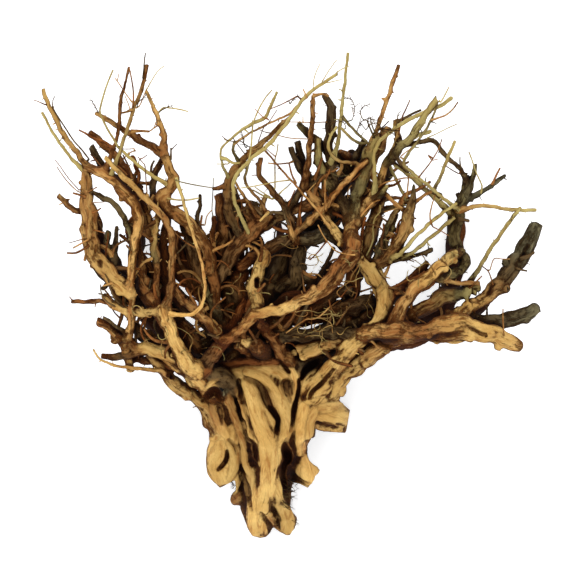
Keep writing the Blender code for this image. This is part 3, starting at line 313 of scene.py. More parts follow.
        (238, 356, 79, 18)]),
    "back right root": ("bark", [(457, 206, 8, 6), (456, 225, 5, 7.8), (455, 248, 11, 8.4),
        (452, 277, 21, 9), (445, 305, 31, 10), (422, 329, 42, 11), (388, 341, 55, 12),
        (345, 353, 67, 14), (298, 364, 78, 20)]),
    "back middle root": ("dark", [(352, 150, 48, 3.6), (348, 170, 38, 6), (335, 195, 38, 9),
        (310, 225, 45, 11), (286, 262, 52, 12), (272, 296, 65, 14), (268, 332, 80, 18)]),
    "left prop": ("bark", [(93, 212, 142, 5), (98, 238, 125, 6.4), (112, 264, 102, 7.4),
        (130, 289, 78, 8.2), (148, 316, 52, 9)]),
    "right prop": ("bark", [(514, 262, 130, 5), (500, 283, 115, 6.4), (482, 302, 92, 7.6),
        (456, 320, 68, 8.4), (420, 332, 45, 10)]),
    "back top left": ("dark", [(229, 188, 132, 4), (240, 210, 108, 6), (252, 232, 88, 7.4),
        (262, 262, 72, 9), (272, 298, 68, 11)]),
    "back top right": ("dark", [(388, 164, 152, 3.4), (383, 180, 128, 5.4), (368, 195, 100, 7),
        (344, 206, 72, 8.4), (310, 226, 52, 10)]),
    "back spur one": ("bark", [(277, 218, 10, 3.4), (281, 240, 25, 4.6), (286, 264, 48, 7)]),
    "back spur two": ("bark", [(142, 354, 14, 3.6), (150, 346, 30, 4.8), (168, 338, 52, 7)]),
    "back spur three": ("bark", [(418, 341, 8, 4), (402, 344, 25, 5.2), (386, 342, 50, 7)]),
    "back spur four": ("tan", [(292, 330, 18, 5), (286, 350, 32, 7.4), (272, 380, 50, 12)]),
    "foot side spur": ("tan bark", [(231, 499, 29, 6), (242, 496, 32, 9), (256, 488, 38, 12)]),
    "low pale runner": ("pale tan", [(93, 349, 155, 1.1), (101, 360, 153, 1.4), (118, 366, 150, 1.8),
        (140, 369, 146, 2.2), (160, 371, 139, 2.8), (178, 378, 128, 4.4)]),
    "brown knob root": ("bark", [(212, 189, 158, 1.8), (222, 187, 154, 2.6), (232, 186, 148, 3.6)]),
    "filler a": ("tan bark", [(137, 230, 138, 3.4), (140, 262, 135, 5.6), (145, 290, 138, 6.6),
        (160, 320, 145, 7.4)]),
    "filler b": ("bark", [(168, 220, 148, 4), (162, 248, 138, 5.6), (164, 280, 132, 7),
        (174, 312, 128, 7.6), (192, 344, 120, 10)]),
    "filler c": ("dark bark", [(183, 216, 142, 4.4), (190, 240, 132, 6.2), (197, 268, 128, 7.6),
        (208, 300, 120, 8.4), (224, 338, 110, 12)]),
    "filler d": ("bark dark", [(221, 194, 132, 5), (223, 222, 128, 7.6), (221, 250, 122, 8),
        (227, 282, 116, 8), (240, 318, 110, 12)]),
    "filler e": ("dark", [(300, 244, 122, 6.4), (297, 268, 115, 8), (292, 294, 110, 10),
        (286, 324, 108, 14)]),
    "filler f": ("dark rust", [(374, 300, 140, 6), (352, 305, 130, 8), (326, 312, 120, 10),
        (298, 324, 110, 12)]),
    "filler g": ("bark", [(352, 254, 138, 6), (353, 272, 130, 8), (351, 292, 125, 9),
        (342, 316, 118, 11)]),
    "filler h": ("tan", [(384, 196, 148, 3.6), (376, 214, 144, 6), (370, 234, 142, 8),
        (366, 256, 145, 7.4)]),
    "filler i": ("rust", [(442, 267, 150, 2.6), (421, 275, 146, 3.6), (403, 287, 148, 5),
        (394, 304, 155, 7)]),
    "filler k": ("straw olive", [(396, 213, 155, 3), (389, 232, 150, 4), (383, 252, 148, 5.4)]),
    "filler l": ("tan", [(389, 127, 165, 3.6), (382, 140, 165, 5), (375, 154, 160, 6),
        (366, 176, 150, 7)]),
    "filler m": ("dark", [(364, 140, 165, 2.8), (359, 152, 160, 4), (352, 170, 150, 5.4)]),
    "filler n": ("straw olive", [(318, 138, 160, 3.4), (320, 165, 155, 4.4), (327, 192, 150, 6)]),
    "filler p": ("dark bark", [(131, 322, 145, 3.6), (142, 334, 138, 6), (160, 347, 128, 9),
        (196, 356, 109, 13)]),
    "filler q": ("bark", [(241, 264, 130, 5), (238, 290, 120, 7.4), (246, 322, 112, 12)]),
    "filler r": ("dark", [(224, 330, 102, 8), (206, 342, 102, 10), (184, 352, 105, 10)]),
}

# Roots that the CAD leaves out, with points as above.
LATE_ROOTS = {
    "upper stub strip": ("dark", [(103, 317, 155, 1.8), (112, 323, 155, 2), (125, 333, 150, 2.6)]),
    "inner finger": ("bark", [(109, 277, 142, 3), (115, 290, 145, 2.6), (121, 301, 151, 2.6),
        (130, 312, 161, 3)]),
    "orange branchlet": ("rust", [(79, 130, 170, 0.8), (92, 137, 170, 1.1), (100, 140, 170, 1.3),
        (109, 145, 170, 1.5), (118, 153, 170, 2)]),
    "thin plank": ("rust tan", [(186, 288, 165, 1.5), (193, 300, 165, 1.5), (203, 315, 165, 2.2)]),
    "rust tie": ("tan", [(297, 106, 205, 1.2), (289, 114, 200, 1.1), (270, 123, 194, 1.1),
        (252, 132, 190, 1.1), (232, 142, 188, 1.2)]),
    "top arch": ("tan", [(328, 96, 188, 1.5), (323, 94, 192, 1.3), (318, 95, 195, 1.3),
        (312, 97, 194, 1.6)]),
    "green fork": ("olive", [(367, 142, 188, 1.3), (357, 133, 192, 1.3), (341, 116, 200, 1.5)]),
    "filler j": ("tan", [(383, 190, 168, 2.4), (391, 200, 166, 2.2), (404, 210, 168, 2.4)]),
    "filler o": ("dark", [(117, 226, 142, 2), (116, 244, 140, 3), (121, 266, 142, 5)]),
    "inner one": ("bark rust", [(152, 232, 128, 3.4), (164, 250, 130, 5), (176, 270, 130, 6.4),
        (190, 292, 128, 8)]),
    "inner two": ("dark rust", [(196, 222, 130, 4), (203, 244, 128, 5.6), (206, 268, 126, 7),
        (206, 292, 124, 8)]),
    "inner three": ("rust dark", [(176, 236, 120, 5), (184, 258, 122, 6.4), (196, 282, 118, 8),
        (214, 312, 116, 9)]),
    "inner four": ("bark dark", [(142, 256, 132, 4), (152, 270, 134, 5.4), (168, 286, 132, 6.4),
        (188, 304, 128, 8)]),
    "inner five": ("dark", [(112, 290, 138, 3.6), (128, 300, 140, 5), (150, 304, 140, 6),
        (172, 318, 132, 8)]),
    "inner six": ("rust dark", [(318, 300, 132, 4.4), (302, 296, 130, 6), (284, 302, 126, 7),
        (266, 318, 120, 9)]),
    "inner seven": ("dark rust", [(352, 290, 138, 5), (334, 294, 134, 6), (318, 304, 130, 7),
        (300, 318, 122, 9)]),
    "inner eight": ("rust", [(246, 300, 140, 3.4), (240, 312, 138, 4.6), (234, 328, 130, 6.4),
        (228, 344, 122, 8)]),
    "inner nine": ("dark rust", [(226, 206, 124, 3.6), (232, 226, 124, 5), (238, 248, 120, 6.4),
        (246, 274, 112, 8)]),
    "inner ten": ("dark", [(330, 262, 122, 4), (322, 276, 120, 5.4), (310, 292, 116, 7),
        (294, 312, 108, 9)]),
    "inner eleven": ("rust dark", [(404, 284, 140, 3.6), (392, 296, 142, 4.8), (376, 312, 140, 6),
        (358, 326, 134, 7.4)]),
    "inner thirteen": ("dark rust", [(170, 256, 122, 4), (188, 276, 126, 6), (208, 298, 124, 7),
        (230, 324, 118, 9)]),
    "inner fourteen": ("rust dark", [(202, 236, 122, 4), (213, 262, 118, 6), (226, 290, 114, 7.4),
        (240, 320, 108, 9)]),
    "inner fifteen": ("bark dark", [(160, 288, 138, 3.4), (178, 300, 138, 5), (198, 316, 132, 6.4),
        (220, 336, 122, 8)]),
    "inner sixteen": ("dark bark", [(102, 258, 128, 3.4), (118, 276, 130, 4.6), (138, 292, 130, 6),
        (162, 308, 128, 7)]),
    "inner seventeen": ("bark dark", [(128, 232, 134, 3), (134, 252, 134, 4.2), (144, 276, 130, 5.4),
        (160, 300, 126, 7)]),
    "inner eighteen": ("dark", [(314, 282, 118, 5), (300, 278, 112, 6.4), (284, 284, 108, 8),
        (268, 300, 104, 10)]),
    "inner nineteen": ("dark rust", [(252, 268, 118, 4.4), (258, 288, 114, 6.4), (262, 308, 108, 9)]),
    "hand palm": ("pale tan", [(301, 357, 132, 4), (310, 352, 137, 5), (322, 347, 139, 6),
        (338, 340, 144, 6)]),
    "pale log end": ("pale grey dark", [(241, 340, 166, 3.6), (249, 343, 163, 5), (261, 347, 156, 6.4),
        (275, 350, 146, 7)]),
    "pale diagonal": ("tan pale pale pale", [(316, 206, 158, 2.4), (331, 226, 172, 4),
        (346, 244, 183, 5.2), (361, 261, 178, 6.2), (374, 278, 160, 7), (383, 294, 146, 7.6)]),
    "hand thumb": ("pale", [(327, 358, 136, 2.6), (325, 351, 139, 3.6), (318, 347, 138, 5)]),
    "inner twelve": ("bark rust", [(428, 262, 148, 3), (414, 276, 148, 4.2), (400, 290, 148, 5.4),
        (388, 306, 146, 6.6)]),
}

# Thin twigs: tone, thickness, and points (across, down) from the free end to the base. They lie on
# whatever wood is under them, as seen from above.
TWIGS = (
    ("bark", 1.2, [(34, 100), (38, 101.5), (45, 104.5)]),
    ("dark", 1.8, [(53, 108), (57, 115), (66, 129), (74, 141), (82, 150), (89, 159)]),
    ("dark", 1.1, [(55, 96), (53, 100), (52.5, 107)]),
    ("bark", 1.1, [(55, 160), (60, 166), (64, 172), (70, 180), (79, 190)]),
    ("tan", 1.3, [(57, 167), (61, 173), (67, 181), (76, 190), (82, 193)]),
    ("bark", 1.8, [(101, 208), (97, 211), (92, 213)]),
    ("bark", 2.6, [(73, 193), (80, 195), (86, 197)]),
    ("bark", 1.1, [(69, 243), (76, 241), (83, 239)]),
    ("tan", 2.1, [(73, 248), (84, 242), (88, 240)]),
    ("bark", 2.6, [(67, 253), (75, 253), (82, 250), (88, 246)]),
    ("straw", 2.2, [(113, 70), (108, 82), (104, 94), (101, 105), (100, 112), (103, 120), (108, 130),
        (113, 138), (118, 147)]),
    ("bark", 1.8, [(129, 67), (131, 76), (133, 88), (133.5, 97), (133, 107)]),
    ("tan", 1.3, [(115, 78), (120, 85), (126, 94), (132, 102)]),
    ("tan", 1.0, [(119, 73), (118, 78), (117, 81)]),
    ("tan", 2.5, [(121, 113), (126, 112), (131, 110)]),
    ("tan", 1.1, [(125, 96), (128, 103), (130, 109)]),
    ("dark", 1.6, [(145.5, 53), (144.5, 60), (144, 67), (143, 78)]),
    ("tan", 1.3, [(146, 90), (143, 98), (140, 105), (137, 108)]),
    ("tan", 1.1, [(156, 122), (153, 129), (149, 131.5)]),
    ("tan", 3.0, [(149, 131.5), (140, 131), (131, 131.5)]),
    ("tan", 1.1, [(123, 149), (129, 149), (134, 148.5)]),
    ("bark", 2.1, [(123, 155), (127, 163), (130, 170), (132, 178)]),
    ("bark", 1.3, [(138, 157), (143, 163), (145, 166), (146, 180), (147, 192)]),
    ("bark", 1.1, [(147, 155), (143, 158), (140, 159)]),
    ("bark", 1.6, [(97, 187), (92, 190), (88, 192)]),
    ("bark", 1.1, [(104, 202), (96, 202.5), (92, 203)]),
    ("dark", 1.1, [(98, 221), (103, 231), (106, 240)]),
    ("bark", 1.6, [(105, 233), (98, 231), (94, 230)]),
    ("straw", 1.6, [(188, 111.5), (180, 109.5), (170, 108), (163, 108), (159, 112)]),
    ("straw", 1.1, [(164, 66), (158, 71), (152, 80), (147, 89)]),
    ("dark", 2.1, [(171, 148), (171, 153), (171, 159)]),
    ("dark", 1.1, [(177, 144), (174, 147), (171, 150)]),
    ("olive", 1.4, [(213, 188), (195, 185), (181, 182), (176, 180)]),
    ("olive", 1.1, [(213.5, 178), (213, 188), (212.5, 200), (212, 210), (213, 216)]),
    ("tan", 1.3, [(212, 210), (207, 216), (205, 225)]),
    ("straw", 1.9, [(199, 198), (188, 200), (178, 200), (168, 198.5)]),
    ("bark", 2.0, [(104, 289), (108, 294), (112, 300)]),
    ("bark", 1.6, [(111, 307), (115, 313), (120, 318)]),
    ("straw", 1.1, [(350, 66), (346, 67), (337, 72)]),
    ("straw", 1.0, [(337, 60), (335, 62), (328, 72), (322, 82)]),
    ("straw", 1.0, [(320, 64), (317, 70), (314, 79), (313, 89)]),
    ("straw", 1.0, [(342, 79.5), (335, 81), (327, 83)]),
    ("tan", 1.6, [(303, 89), (305, 93), (307, 98)]),
    ("straw", 3.0, [(240, 163), (233, 163), (226, 159)]),
    ("straw", 1.1, [(217, 164), (222, 164), (228, 164)]),
    ("dark", 1.1, [(222, 136), (227, 140), (234, 141.5), (240, 141), (246, 145), (250, 147)]),
    ("dark", 1.1, [(233, 138), (238, 145), (244, 153)]),
    ("bark", 1.4, [(270, 109), (280, 105), (290, 100), (297, 96)]),
    ("straw", 1.7, [(272, 90), (266, 97), (261, 105), (258, 111), (255, 118), (253, 124), (252, 135),
        (251, 148), (249, 160)]),
    ("bark", 1.1, [(255, 109), (263, 117), (269, 120)]),
    ("bark", 1.1, [(277, 110), (273, 116), (269, 122), (264, 127), (258, 142)]),
    ("bark", 1.1, [(260, 130), (265, 132), (270, 133)]),
    ("tan", 1.1, [(277, 135), (290, 138), (307, 139)]),
    ("tan", 1.0, [(296, 127), (290, 137), (285, 146), (282, 155)]),
    ("straw", 1.4, [(278, 144), (277, 152), (275, 160), (275, 175), (275, 188)]),
    ("bark", 1.1, [(264, 147), (270, 152), (276, 157)]),
    ("tan", 1.1, [(290, 122), (300, 122), (310, 122.5), (326, 122)]),
    ("tan", 1.0, [(303, 116), (303, 123)]),
    ("straw", 1.8, [(253, 190), (262, 195), (272, 199)]),
    ("straw", 1.3, [(255, 187), (262, 192), (270, 197)]),
    ("straw", 1.3, [(241, 188), (255, 186), (275, 182), (290, 180)]),
    ("tan", 1.6, [(268, 163), (277, 164), (289, 163)]),
    ("bark", 2.1, [(289, 163), (292, 175), (296, 183)]),
    ("rust", 1.7, [(295, 190), (291, 199), (288, 206)]),
    ("straw", 1.3, [(291, 183), (287, 187), (282, 191)]),
    ("pale", 3.0, [(260, 221), (264, 217), (268, 213)]),
    ("tan", 1.6, [(316, 183), (311, 188), (307, 193)]),
    ("tan", 2.6, [(325, 180), (325, 195), (326, 210)]),
    ("bark", 3.4, [(322, 158), (319, 168), (315, 178)]),
    ("olive", 1.3, [(350, 175), (338, 176), (331, 173)]),
    ("olive", 1.5, [(370, 117), (372, 125), (375, 133)]),
    ("olive", 2.0, [(367, 120), (370, 128), (374, 137)]),
    ("dark", 1.5, [(389, 121), (384, 126), (379, 130)]),
    ("dark", 1.5, [(400, 131), (390, 130), (380, 129)]),
    ("dark", 3.0, [(421, 110), (412, 114), (403, 119), (397, 122)]),
    ("tan", 1.6, [(318, 225), (323, 235), (330, 245), (336, 251), (345, 254), (355, 255)]),
    ("rust", 1.7, [(310, 260), (318, 252), (325, 243)]),
    ("straw", 1.6, [(380, 205), (380, 212), (375, 218), (373, 228), (373, 240), (367, 255)]),
    ("tan", 1.6, [(286, 333), (293, 328), (302, 322), (307, 319), (313, 319), (320, 316), (330, 307),
        (340, 300)]),
    ("tan", 1.6, [(340, 297), (337, 292), (343, 286), (350, 281), (352, 275), (357, 268), (360, 262)]),
    ("rust", 1.4, [(354, 300), (357, 293), (356, 287), (349, 288), (341, 297)]),
    ("bark", 1.2, [(240, 316), (230, 312), (219, 309)]),
    ("straw", 1.6, [(449, 87), (445, 95), (441, 102)]),
    ("tan", 2.0, [(458, 102), (453, 109), (446, 115), (438, 118), (432, 120)]),
    ("bark", 1.7, [(410, 100), (406, 109), (402, 118), (399, 133)]),
    ("dark", 1.6, [(460, 157), (460, 162), (461, 168)]),
    ("straw", 1.1, [(457, 124), (446, 129), (436, 134), (427, 138)]),
    ("tan", 1.3, [(412, 148), (406, 152), (400, 157)]),
    ("bark", 1.5, [(442, 139), (438, 150), (430, 163), (419, 177)]),
    ("bark", 1.2, [(438, 159), (432, 160), (428, 155)]),
    ("bark", 1.3, [(446, 166), (452, 170), (459, 174)]),
    ("straw", 1.7, [(469, 152), (472, 160), (476, 172), (481, 183), (482, 187), (481, 193)]),
    ("tan", 1.6, [(409, 175), (408, 185), (407, 196)]),
    ("tan", 1.2, [(384, 212), (391, 210), (398, 208)]),
    ("bark", 2.5, [(500, 168), (496, 176), (492, 185)]),
    ("dark", 4.0, [(469, 221), (464, 220), (458, 219)]),
    ("bark", 1.5, [(482, 266), (488, 271), (491, 278), (493, 285)]),
    ("tan", 1.2, [(510, 259), (502, 259), (494, 259), (490, 270)]),
    ("bark", 1.3, [(449, 236), (441, 231), (433, 227)]),
    ("tan", 1.6, [(435, 195), (432, 205), (430, 215), (431, 223)]),
    ("dark", 4.0, [(534, 252), (529, 256), (523, 258)]),
    ("dark", 2.4, [(527, 271), (522, 270), (516, 268)]),
    ("tan", 1.6, [(503, 309), (503, 320), (504, 335)]),
    ("dark", 2.2, [(487, 306), (487, 311), (487, 318)]),
    ("bark", 1.8, [(482, 276), (476, 282), (470, 288)]),
)

# Where fine branching sprays of dead twiglets stand: root of the spray, heading in degrees
# anticlockwise from across, length.
SPRAYS = (
    (346, 128, 100, 26), (352, 120, 62, 30), (357, 132, 80, 28), (366, 130, 55, 30),
    (372, 138, 35, 26), (362, 118, 110, 20), (290, 104, 60, 14), (246, 148, 130, 18),
    (98, 112, 118, 16), (137, 108, 75, 18), (159, 112, 40, 16), (396, 126, 70, 16),
)

# Dark areas where curly root hairs lie: middle of the area, its reach, how many.
CURLS = (
    (356, 292, 14, 12), (330, 318, 16, 8), (306, 326, 14, 8), (296, 250, 14, 6), (430, 268, 20, 10),
    (205, 345, 16, 6), (240, 300, 16, 5), (150, 330, 14, 5), (372, 250, 14, 5),
)

# Tufts of root hairs: middle, reach, heading in degrees, how many, longest.
HAIR_TUFTS = (
    (289, 494, 5, -20, 22, 7), (288, 506, 4, -10, 14, 6), (235, 486, 3, 200, 5, 5),
    (294, 522, 3, -30, 5, 4), (293, 485, 5, -25, 8, 8),
)

# Strands that stand out on the trunk: tone, points (across, down, how far the crest stands
# proud, radius).
STRANDS = {
    "left arm": ("pale", [(244, 380, 2, 6), (249, 388, 4, 8), (252, 398, 5, 10), (256, 411, 5, 11),
        (261, 424, 5, 12), (266, 438, 5, 13), (268, 455, 5, 13), (267, 473, 5, 13.5),
        (266, 490, 5, 13.5), (262, 503, 4, 12)]),
    "foot": ("pale", [(259, 498, 3, 11), (258, 512, 3, 12), (259, 524, 3, 12), (260, 533, 1, 9)]),
    "right arm": ("pale", [(248, 371, 3, 6), (260, 374, 4, 8), (271, 382, 5, 9), (279, 394, 6, 10),
        (284, 408, 6, 9), (287, 420, 6, 7.5), (285, 432, 5, 7.5), (278, 444, 4.5, 9),
        (273, 458, 3, 10)]),
    "fork": ("pale", [(272, 480, 3, 9), (277, 494, 4, 8.5), (282, 506, 4, 8), (286, 517, 3.5, 8),
        (288, 528, 2, 7)]),
    "fork lip": ("tan", [(262, 512, 2, 3), (268, 520, 3, 3.5), (276, 526, 3, 4), (284, 531, 2, 4)]),
    "edge strand": ("pale", [(281, 354, 4, 2.5), (287, 363, 4, 2.6), (294, 374, 3.5, 2.6),
        (297, 385, 3, 2.4), (294, 397, 1, 2)]),
    "edge strand two": ("tan", [(292, 352, 3, 2.5), (298, 364, 2, 2.8), (300, 377, 1, 2.8)]),
    "thin ridge": ("tan pale", [(237, 388, 2, 3), (241, 402, 3, 3), (245, 416, 3, 3), (248, 428, 3, 3),
        (254, 440, 2, 4)]),
    "second ridge": ("tan pale", [(226, 396, 2, 5), (231, 408, 3, 5.5), (237, 422, 4, 6),
        (243, 436, 4, 6),
        (246, 450, 4, 6), (247, 461, 2.5, 6), (250, 470, 1, 5)]),
    "lobe ridge": ("bark tan pale", [(211, 404, 2, 5), (217, 416, 3, 5), (223, 428, 3, 5),
        (228, 438, 2, 4)]),
    "lobe slab": ("pale", [(222, 440, 2, 8), (221, 450, 2.5, 11), (220, 462, 2.5, 13),
        (223, 473, 1.5, 12)]),
    "lobe ring": ("pale tan", [(224, 436, 2, 4), (214, 443, 2, 5), (210, 455, 1.5, 5),
        (210, 467, 1.5, 5),
        (215, 477, 1, 5), (221, 483, 0, 4)]),
    "inner ring": ("pale", [(228, 441, 2.5, 4), (234, 450, 3.5, 5), (235, 461, 3.5, 5.5),
        (231, 472, 3, 6),
        (223, 479, 2, 5)]),
    "rim of crown": ("rust", [(200, 378, 3, 4), (207, 370, 4, 4), (216, 366, 4, 4), (232, 364, 4, 4),
        (246, 361, 4, 4), (262, 361, 3, 4), (276, 360, 2, 4)]),
    "rim plate": ("pale", [(236, 372, 1, 7), (250, 370, 1, 9), (268, 370, 1, 10), (280, 376, 1, 9)]),
    "right strand": ("tan pale pale", [(346, 356, 3, 4.5), (334, 367, 3, 5), (322, 380, 3, 5.5),
        (312, 390, 3, 5), (304, 404, 4, 5.5), (301, 420, 4, 6), (299, 436, 3, 6), (298, 450, 2, 6)]),
    "stub ridge": ("tan pale", [(350, 368, 2, 4.5), (338, 381, 3, 5), (328, 391, 3, 6), (318, 402, 3, 7),
        (309, 416, 3, 7), (306, 432, 2, 7)]),
    "stub slab": ("pale", [(352, 417, -4, 14), (336, 415, -1, 15), (318, 409, 0, 14),
        (300, 402, -3, 14)]),
    "stub slope": ("tan pale", [(346, 405, -3, 9), (332, 403, 1, 10), (316, 404, 1, 10),
        (304, 398, -1, 9)]),
    "stub lower ridge": ("tan", [(306, 410, 1, 5), (314, 420, 1.5, 6), (328, 430, 1, 4),
        (340, 430, 0.5, 3)]),
    "right lobe slab": ("tan pale", [(301, 440, 2, 7), (304, 454, 3, 7), (307, 466, 3, 8),
        (309, 476, 2, 8)]),
    "lobe knob": ("pale", [(318, 476, -6, 9), (308, 470, -2, 10), (298, 462, -2, 10)]),
    "stub eye": ("grey tan", [(223, 392, 4, 4), (223, 397, 1, 4.4)]),
    "dark knob": ("dark", [(236, 383, 3, 4), (236, 389, 1, 4)]),
    "rotten mound": ("dark", [(213, 374, 3, 7), (221, 376, 5, 9), (229, 382, 4, 7)]),
    "splinter": ("pale", [(200, 379, 2, 2.6), (206, 386, 3, 3.4), (213, 381, 4, 3), (218, 376, 3, 2)]),
}

# Hollows are cut straight down into what shows: how dark the shade painted into them is, and
# points (across, down, depth, half the width).
HOLLOWS = {
    "knot hole": (0.62, [(286.5, 384, 4, 5.4), (288.5, 393, 4, 5.6)]),
    "groove top": (0.6, [(244, 378, 1.5, 1), (250, 379.5, 3, 1.2), (257, 383, 6, 2), (263, 391, 9, 3.2),
        (266, 399, 10, 3.8), (269, 406, 9, 3)]),
    "main groove": (1.0, [(265, 395, 6, 1), (268, 404, 9, 1.8), (274, 413, 10, 2.6), (278, 420, 10, 2),
        (277, 428, 8, 1.6), (276, 437, 3, 1.2)]),
    "side groove": (1.0, [(247, 438, 3, 1.2), (252, 443, 6, 2), (255, 450, 7, 2.6), (256, 457, 6, 2.1),
        (257, 464, 2, 1.2)]),
    "ridge groove": (0.5, [(238, 410, 2, 1), (241, 417, 5, 1.8), (244, 425, 5, 2.1),
        (245, 433, 3, 1.3)]),
    "ridge line": (0.45, [(239, 380, 4, 1.8), (240, 390, 3, 1.4), (241, 400, 3, 1.2), (244, 409, 2, 1.1),
        (247, 418, 1, 1)]),
    "right groove": (1.0, [(299, 380, 6, 1), (299, 388, 6, 1.2), (297, 398, 7, 1.4), (294, 410, 8, 1.9),
        (293, 420, 7, 1.7), (291, 431, 3, 0.8)]),
    "dark hollow": (1.0, [(287, 440, 4, 1.5), (285, 447, 10, 3), (287, 454, 14, 4.6),
        (288, 459, 12, 4.2),
        (284, 465, 10, 2.8), (283, 474, 10, 2.2), (284, 484, 12, 3.4), (287, 494, 12, 4),
        (290, 503, 8, 2.6)]),
    "left groove": (1.0, [(227, 451, 4, 1), (227, 457, 7, 1.8), (224, 464, 7, 2), (218, 470, 4, 1.5)]),
    "lobe crease": (0.5, [(229, 440, 2, 1), (235, 446, 4, 1.8), (237, 454, 3, 1.3)]),
    "fork hole": (1.0, [(271, 499, 3, 0.9), (272, 506, 7, 2.2), (275, 513, 8, 2.8), (279, 520, 4, 1.5)]),
    "fork crease": (0.9, [(261, 512, 2, 1), (265, 519, 5, 1.5), (270, 526, 8, 2.3), (271, 532, 8, 2.6)]),
    "scar": (0.85, [(309, 398, 3, 1), (312, 392, 6, 1.5), (320, 385, 7, 1.8), (328, 376, 6, 1.5),
        (333, 370, 4, 1)]),
    "dark wedge": (1.0, [(302, 378, 8, 2), (306, 370, 10, 3.8), (314, 364, 10, 4.4), (324, 358, 9, 3.4),
        (336, 351, 6, 2.2)]),
    "top wedge": (0.95, [(279, 360, 5, 1.5), (284, 366, 6, 2.2), (289, 372, 4, 1.4)]),
    "lump hollow": (0.97, [(203, 401, 4, 1.8), (209, 395, 8, 4), (216, 391, 8, 4.2), (221, 399, 5, 2.6),
        (226, 398, 3, 1.6)]),
    "recess": (0.75, [(240, 473, 3, 1.6), (243, 481, 6, 3.6), (246, 490, 7, 4.2), (248, 500, 6, 3.2),
        (251, 511, 2, 1.2)]),
    "bark pits": (0.7, [(219, 408, 3, 1.8), (221, 416, 3, 2), (222, 424, 2, 1.4)]),
    "sponge hole": (0.9, [(257, 280, 8, 2.4), (257, 286, 8, 2.4)]),
    "limb knot": (0.9, [(100, 262, 4, 2.4), (100, 266, 4, 2.4)]),
    "flange hole": (0.95, [(170, 376, 6, 3.6), (181, 378, 6, 4)]),
    "stub slit": (0.55, [(324, 423, 1.2, 1.1), (333, 425, 1.2, 1.2)]),
    "dark stub slit": (1.0, [(337, 424, 2, 0.9), (345, 426, 2, 1)]),
    "lower band": (0.55, [(294, 480, 2, 1.8), (301, 481, 2, 2), (308, 484, 1, 1.5)]),
    "low slit": (0.9, [(467, 325.5, 1, 0.7), (473, 329, 3, 1.3), (480, 333, 3, 1.8),
        (486, 335, 1, 0.8)]),
    "arch crease": (0.6, [(341, 268, 1.5, 1.2), (335, 277, 2, 1.4), (329, 285, 1, 1.1)]),
}

# Outline of the trunk on the sheet, with its sawn ends; it closes far outside the crown.
TRUNK_OUTLINE = [(-50, 380), (150, 384), (180, 397), (191, 401), (199, 410), (200, 424), (208, 430),
    (211, 438), (207, 450), (206, 461), (207, 474), (214, 482), (220, 488), (235, 480), (236, 490),
    (231, 495), (230, 500), (232, 505), (236, 507), (241, 510), (244, 517), (245, 525), (249, 531),
    (253, 536), (260, 538), (266, 537), (270, 533), (273, 527), (280, 532), (287, 535), (290, 535),
    (294, 528), (297, 519), (294, 514), (290, 508), (291, 500), (291, 488), (293, 482), (300, 484),
    (308, 488), (312, 482), (316, 475), (320, 470), (314, 465), (309, 460), (306, 453), (307, 446),
    (310, 438), (316, 437), (320, 431), (330, 432), (346, 433), (348, 422), (350, 410), (344, 405),
    (339, 400), (340, 394), (352, 384), (620, 340), (620, -50), (-50, -50)]

# Tones of the wood in sRGB: main colour, colour of its patches, and the share that the patches take.
TONES = {
    "pale": ((226, 186, 110), (172, 116, 54), 0.27),
    "tan": ((202, 158, 92), (150, 92, 42), 0.38),
    "rust": ((160, 98, 44), (122, 70, 32), 0.46),
    "bark": ((142, 102, 56), (156, 98, 48), 0.46),
    # Dark bark; on the crown's inner and back roots it also partly stands in for shade.
    "dark": ((82, 64, 40), (116, 92, 56), 0.42),
    "grey": ((128, 120, 88), (84, 76, 54), 0.42),
    "straw": ((190, 172, 106), (144, 118, 66), 0.26),
    "olive": ((136, 122, 76), (92, 78, 48), 0.42),
}

# A smooth curve through a root's points is sampled in steps of this many millimetres.
CURVE_STEP = 4.0
GNARL_STEP = 3.0
FINE_STEP = 1.6

# The least that a length or a weight counts when it divides, a share below any along a root, and
# the rise of a root that counts as steep.
TINY = 1e-9
BOUNDLESS = -1e9
STEEP = 0.9

# The rules by which each root is set into the root that carries it, as in the CAD.
CARRIER_SHARE = 0.6
SEAT_DEPTH = 0.35
HEIGHT_WEIGHT = 0.45
FOLLOWING_SHARE = 0.5

# One seed for all random draws.
RANDOM_SEED = 7

# The grid of distances: its cells, its reach, and how far from the skin it is kept.
VOXEL = 1.4
GRID_LOW = (-256.0, -254.0, -3.6)
GRID_HIGH = (256.0, 254.0, 236.0)
BAND = 3.0 * VOXEL
FAR = 50.0

# How roots flow into one another in the grid: where two skins meet, the blend lowers the distance
# by a quarter of its width. Roots thinner than THIN_RADIUS are swept instead.
THIN_RADIUS = 2.1
LEAST_RADIUS = 1.3
CROSSING_BLEND = 0.8
MEETING_DIP = 0.25
SEAT_BLEND_SHARE = 0.55
SEAT_REACH = 3.0
WIDEST_BLEND = 12.0
STRAND_BLEND = 2.5
ROUND_ENDS = {"spongy upright"}
CUT_SKEW = 0.18

# The trunk is cut to its outline on the sheet, in this part of the sheet and below this height.
TRUNK = {"trunk core", "foot stub", "left lobe", "small fork", "right lobe", "right stub",
    "foot side spur", "rotten lump"}
TRUNK_WINDOW = (190, 398, 362, 548)
TRUNK_TOP = 130.0
OUTLINE_STEP = 0.5
OUTLINE_BLEND = 1.6
# Between-cell readings stay this far below the number of cells, so that each has a next cell.
LAST_CELL = 1.001

# Hollows: how round their lips are, how they narrow downwards, and how far their painted shade reaches.
HOLLOW_BLEND = 2.0
SLIT_NARROWING = 0.35
HOLLOW_EDGE = 1.5
HOLLOW_MARGIN = 8.0
HOLLOW_FADE = 1.3

# Gnarls: sideways strays and changes of girth, as shares of the radius, and their wavelengths,
# which are longer on thick roots. The strays fade out towards a root's ends.
GNARL_STRAY = 0.22
THIN_STRAY = 0.14
GNARL_LEAST = 0.35
MOST_STRAY = 1.6
GNARL_GIRTH = 0.10
GNARL_WAVES = (9.0, 15.0, 26.0)
GNARL_THICK = 8.0
GNARL_FADE = 0.15

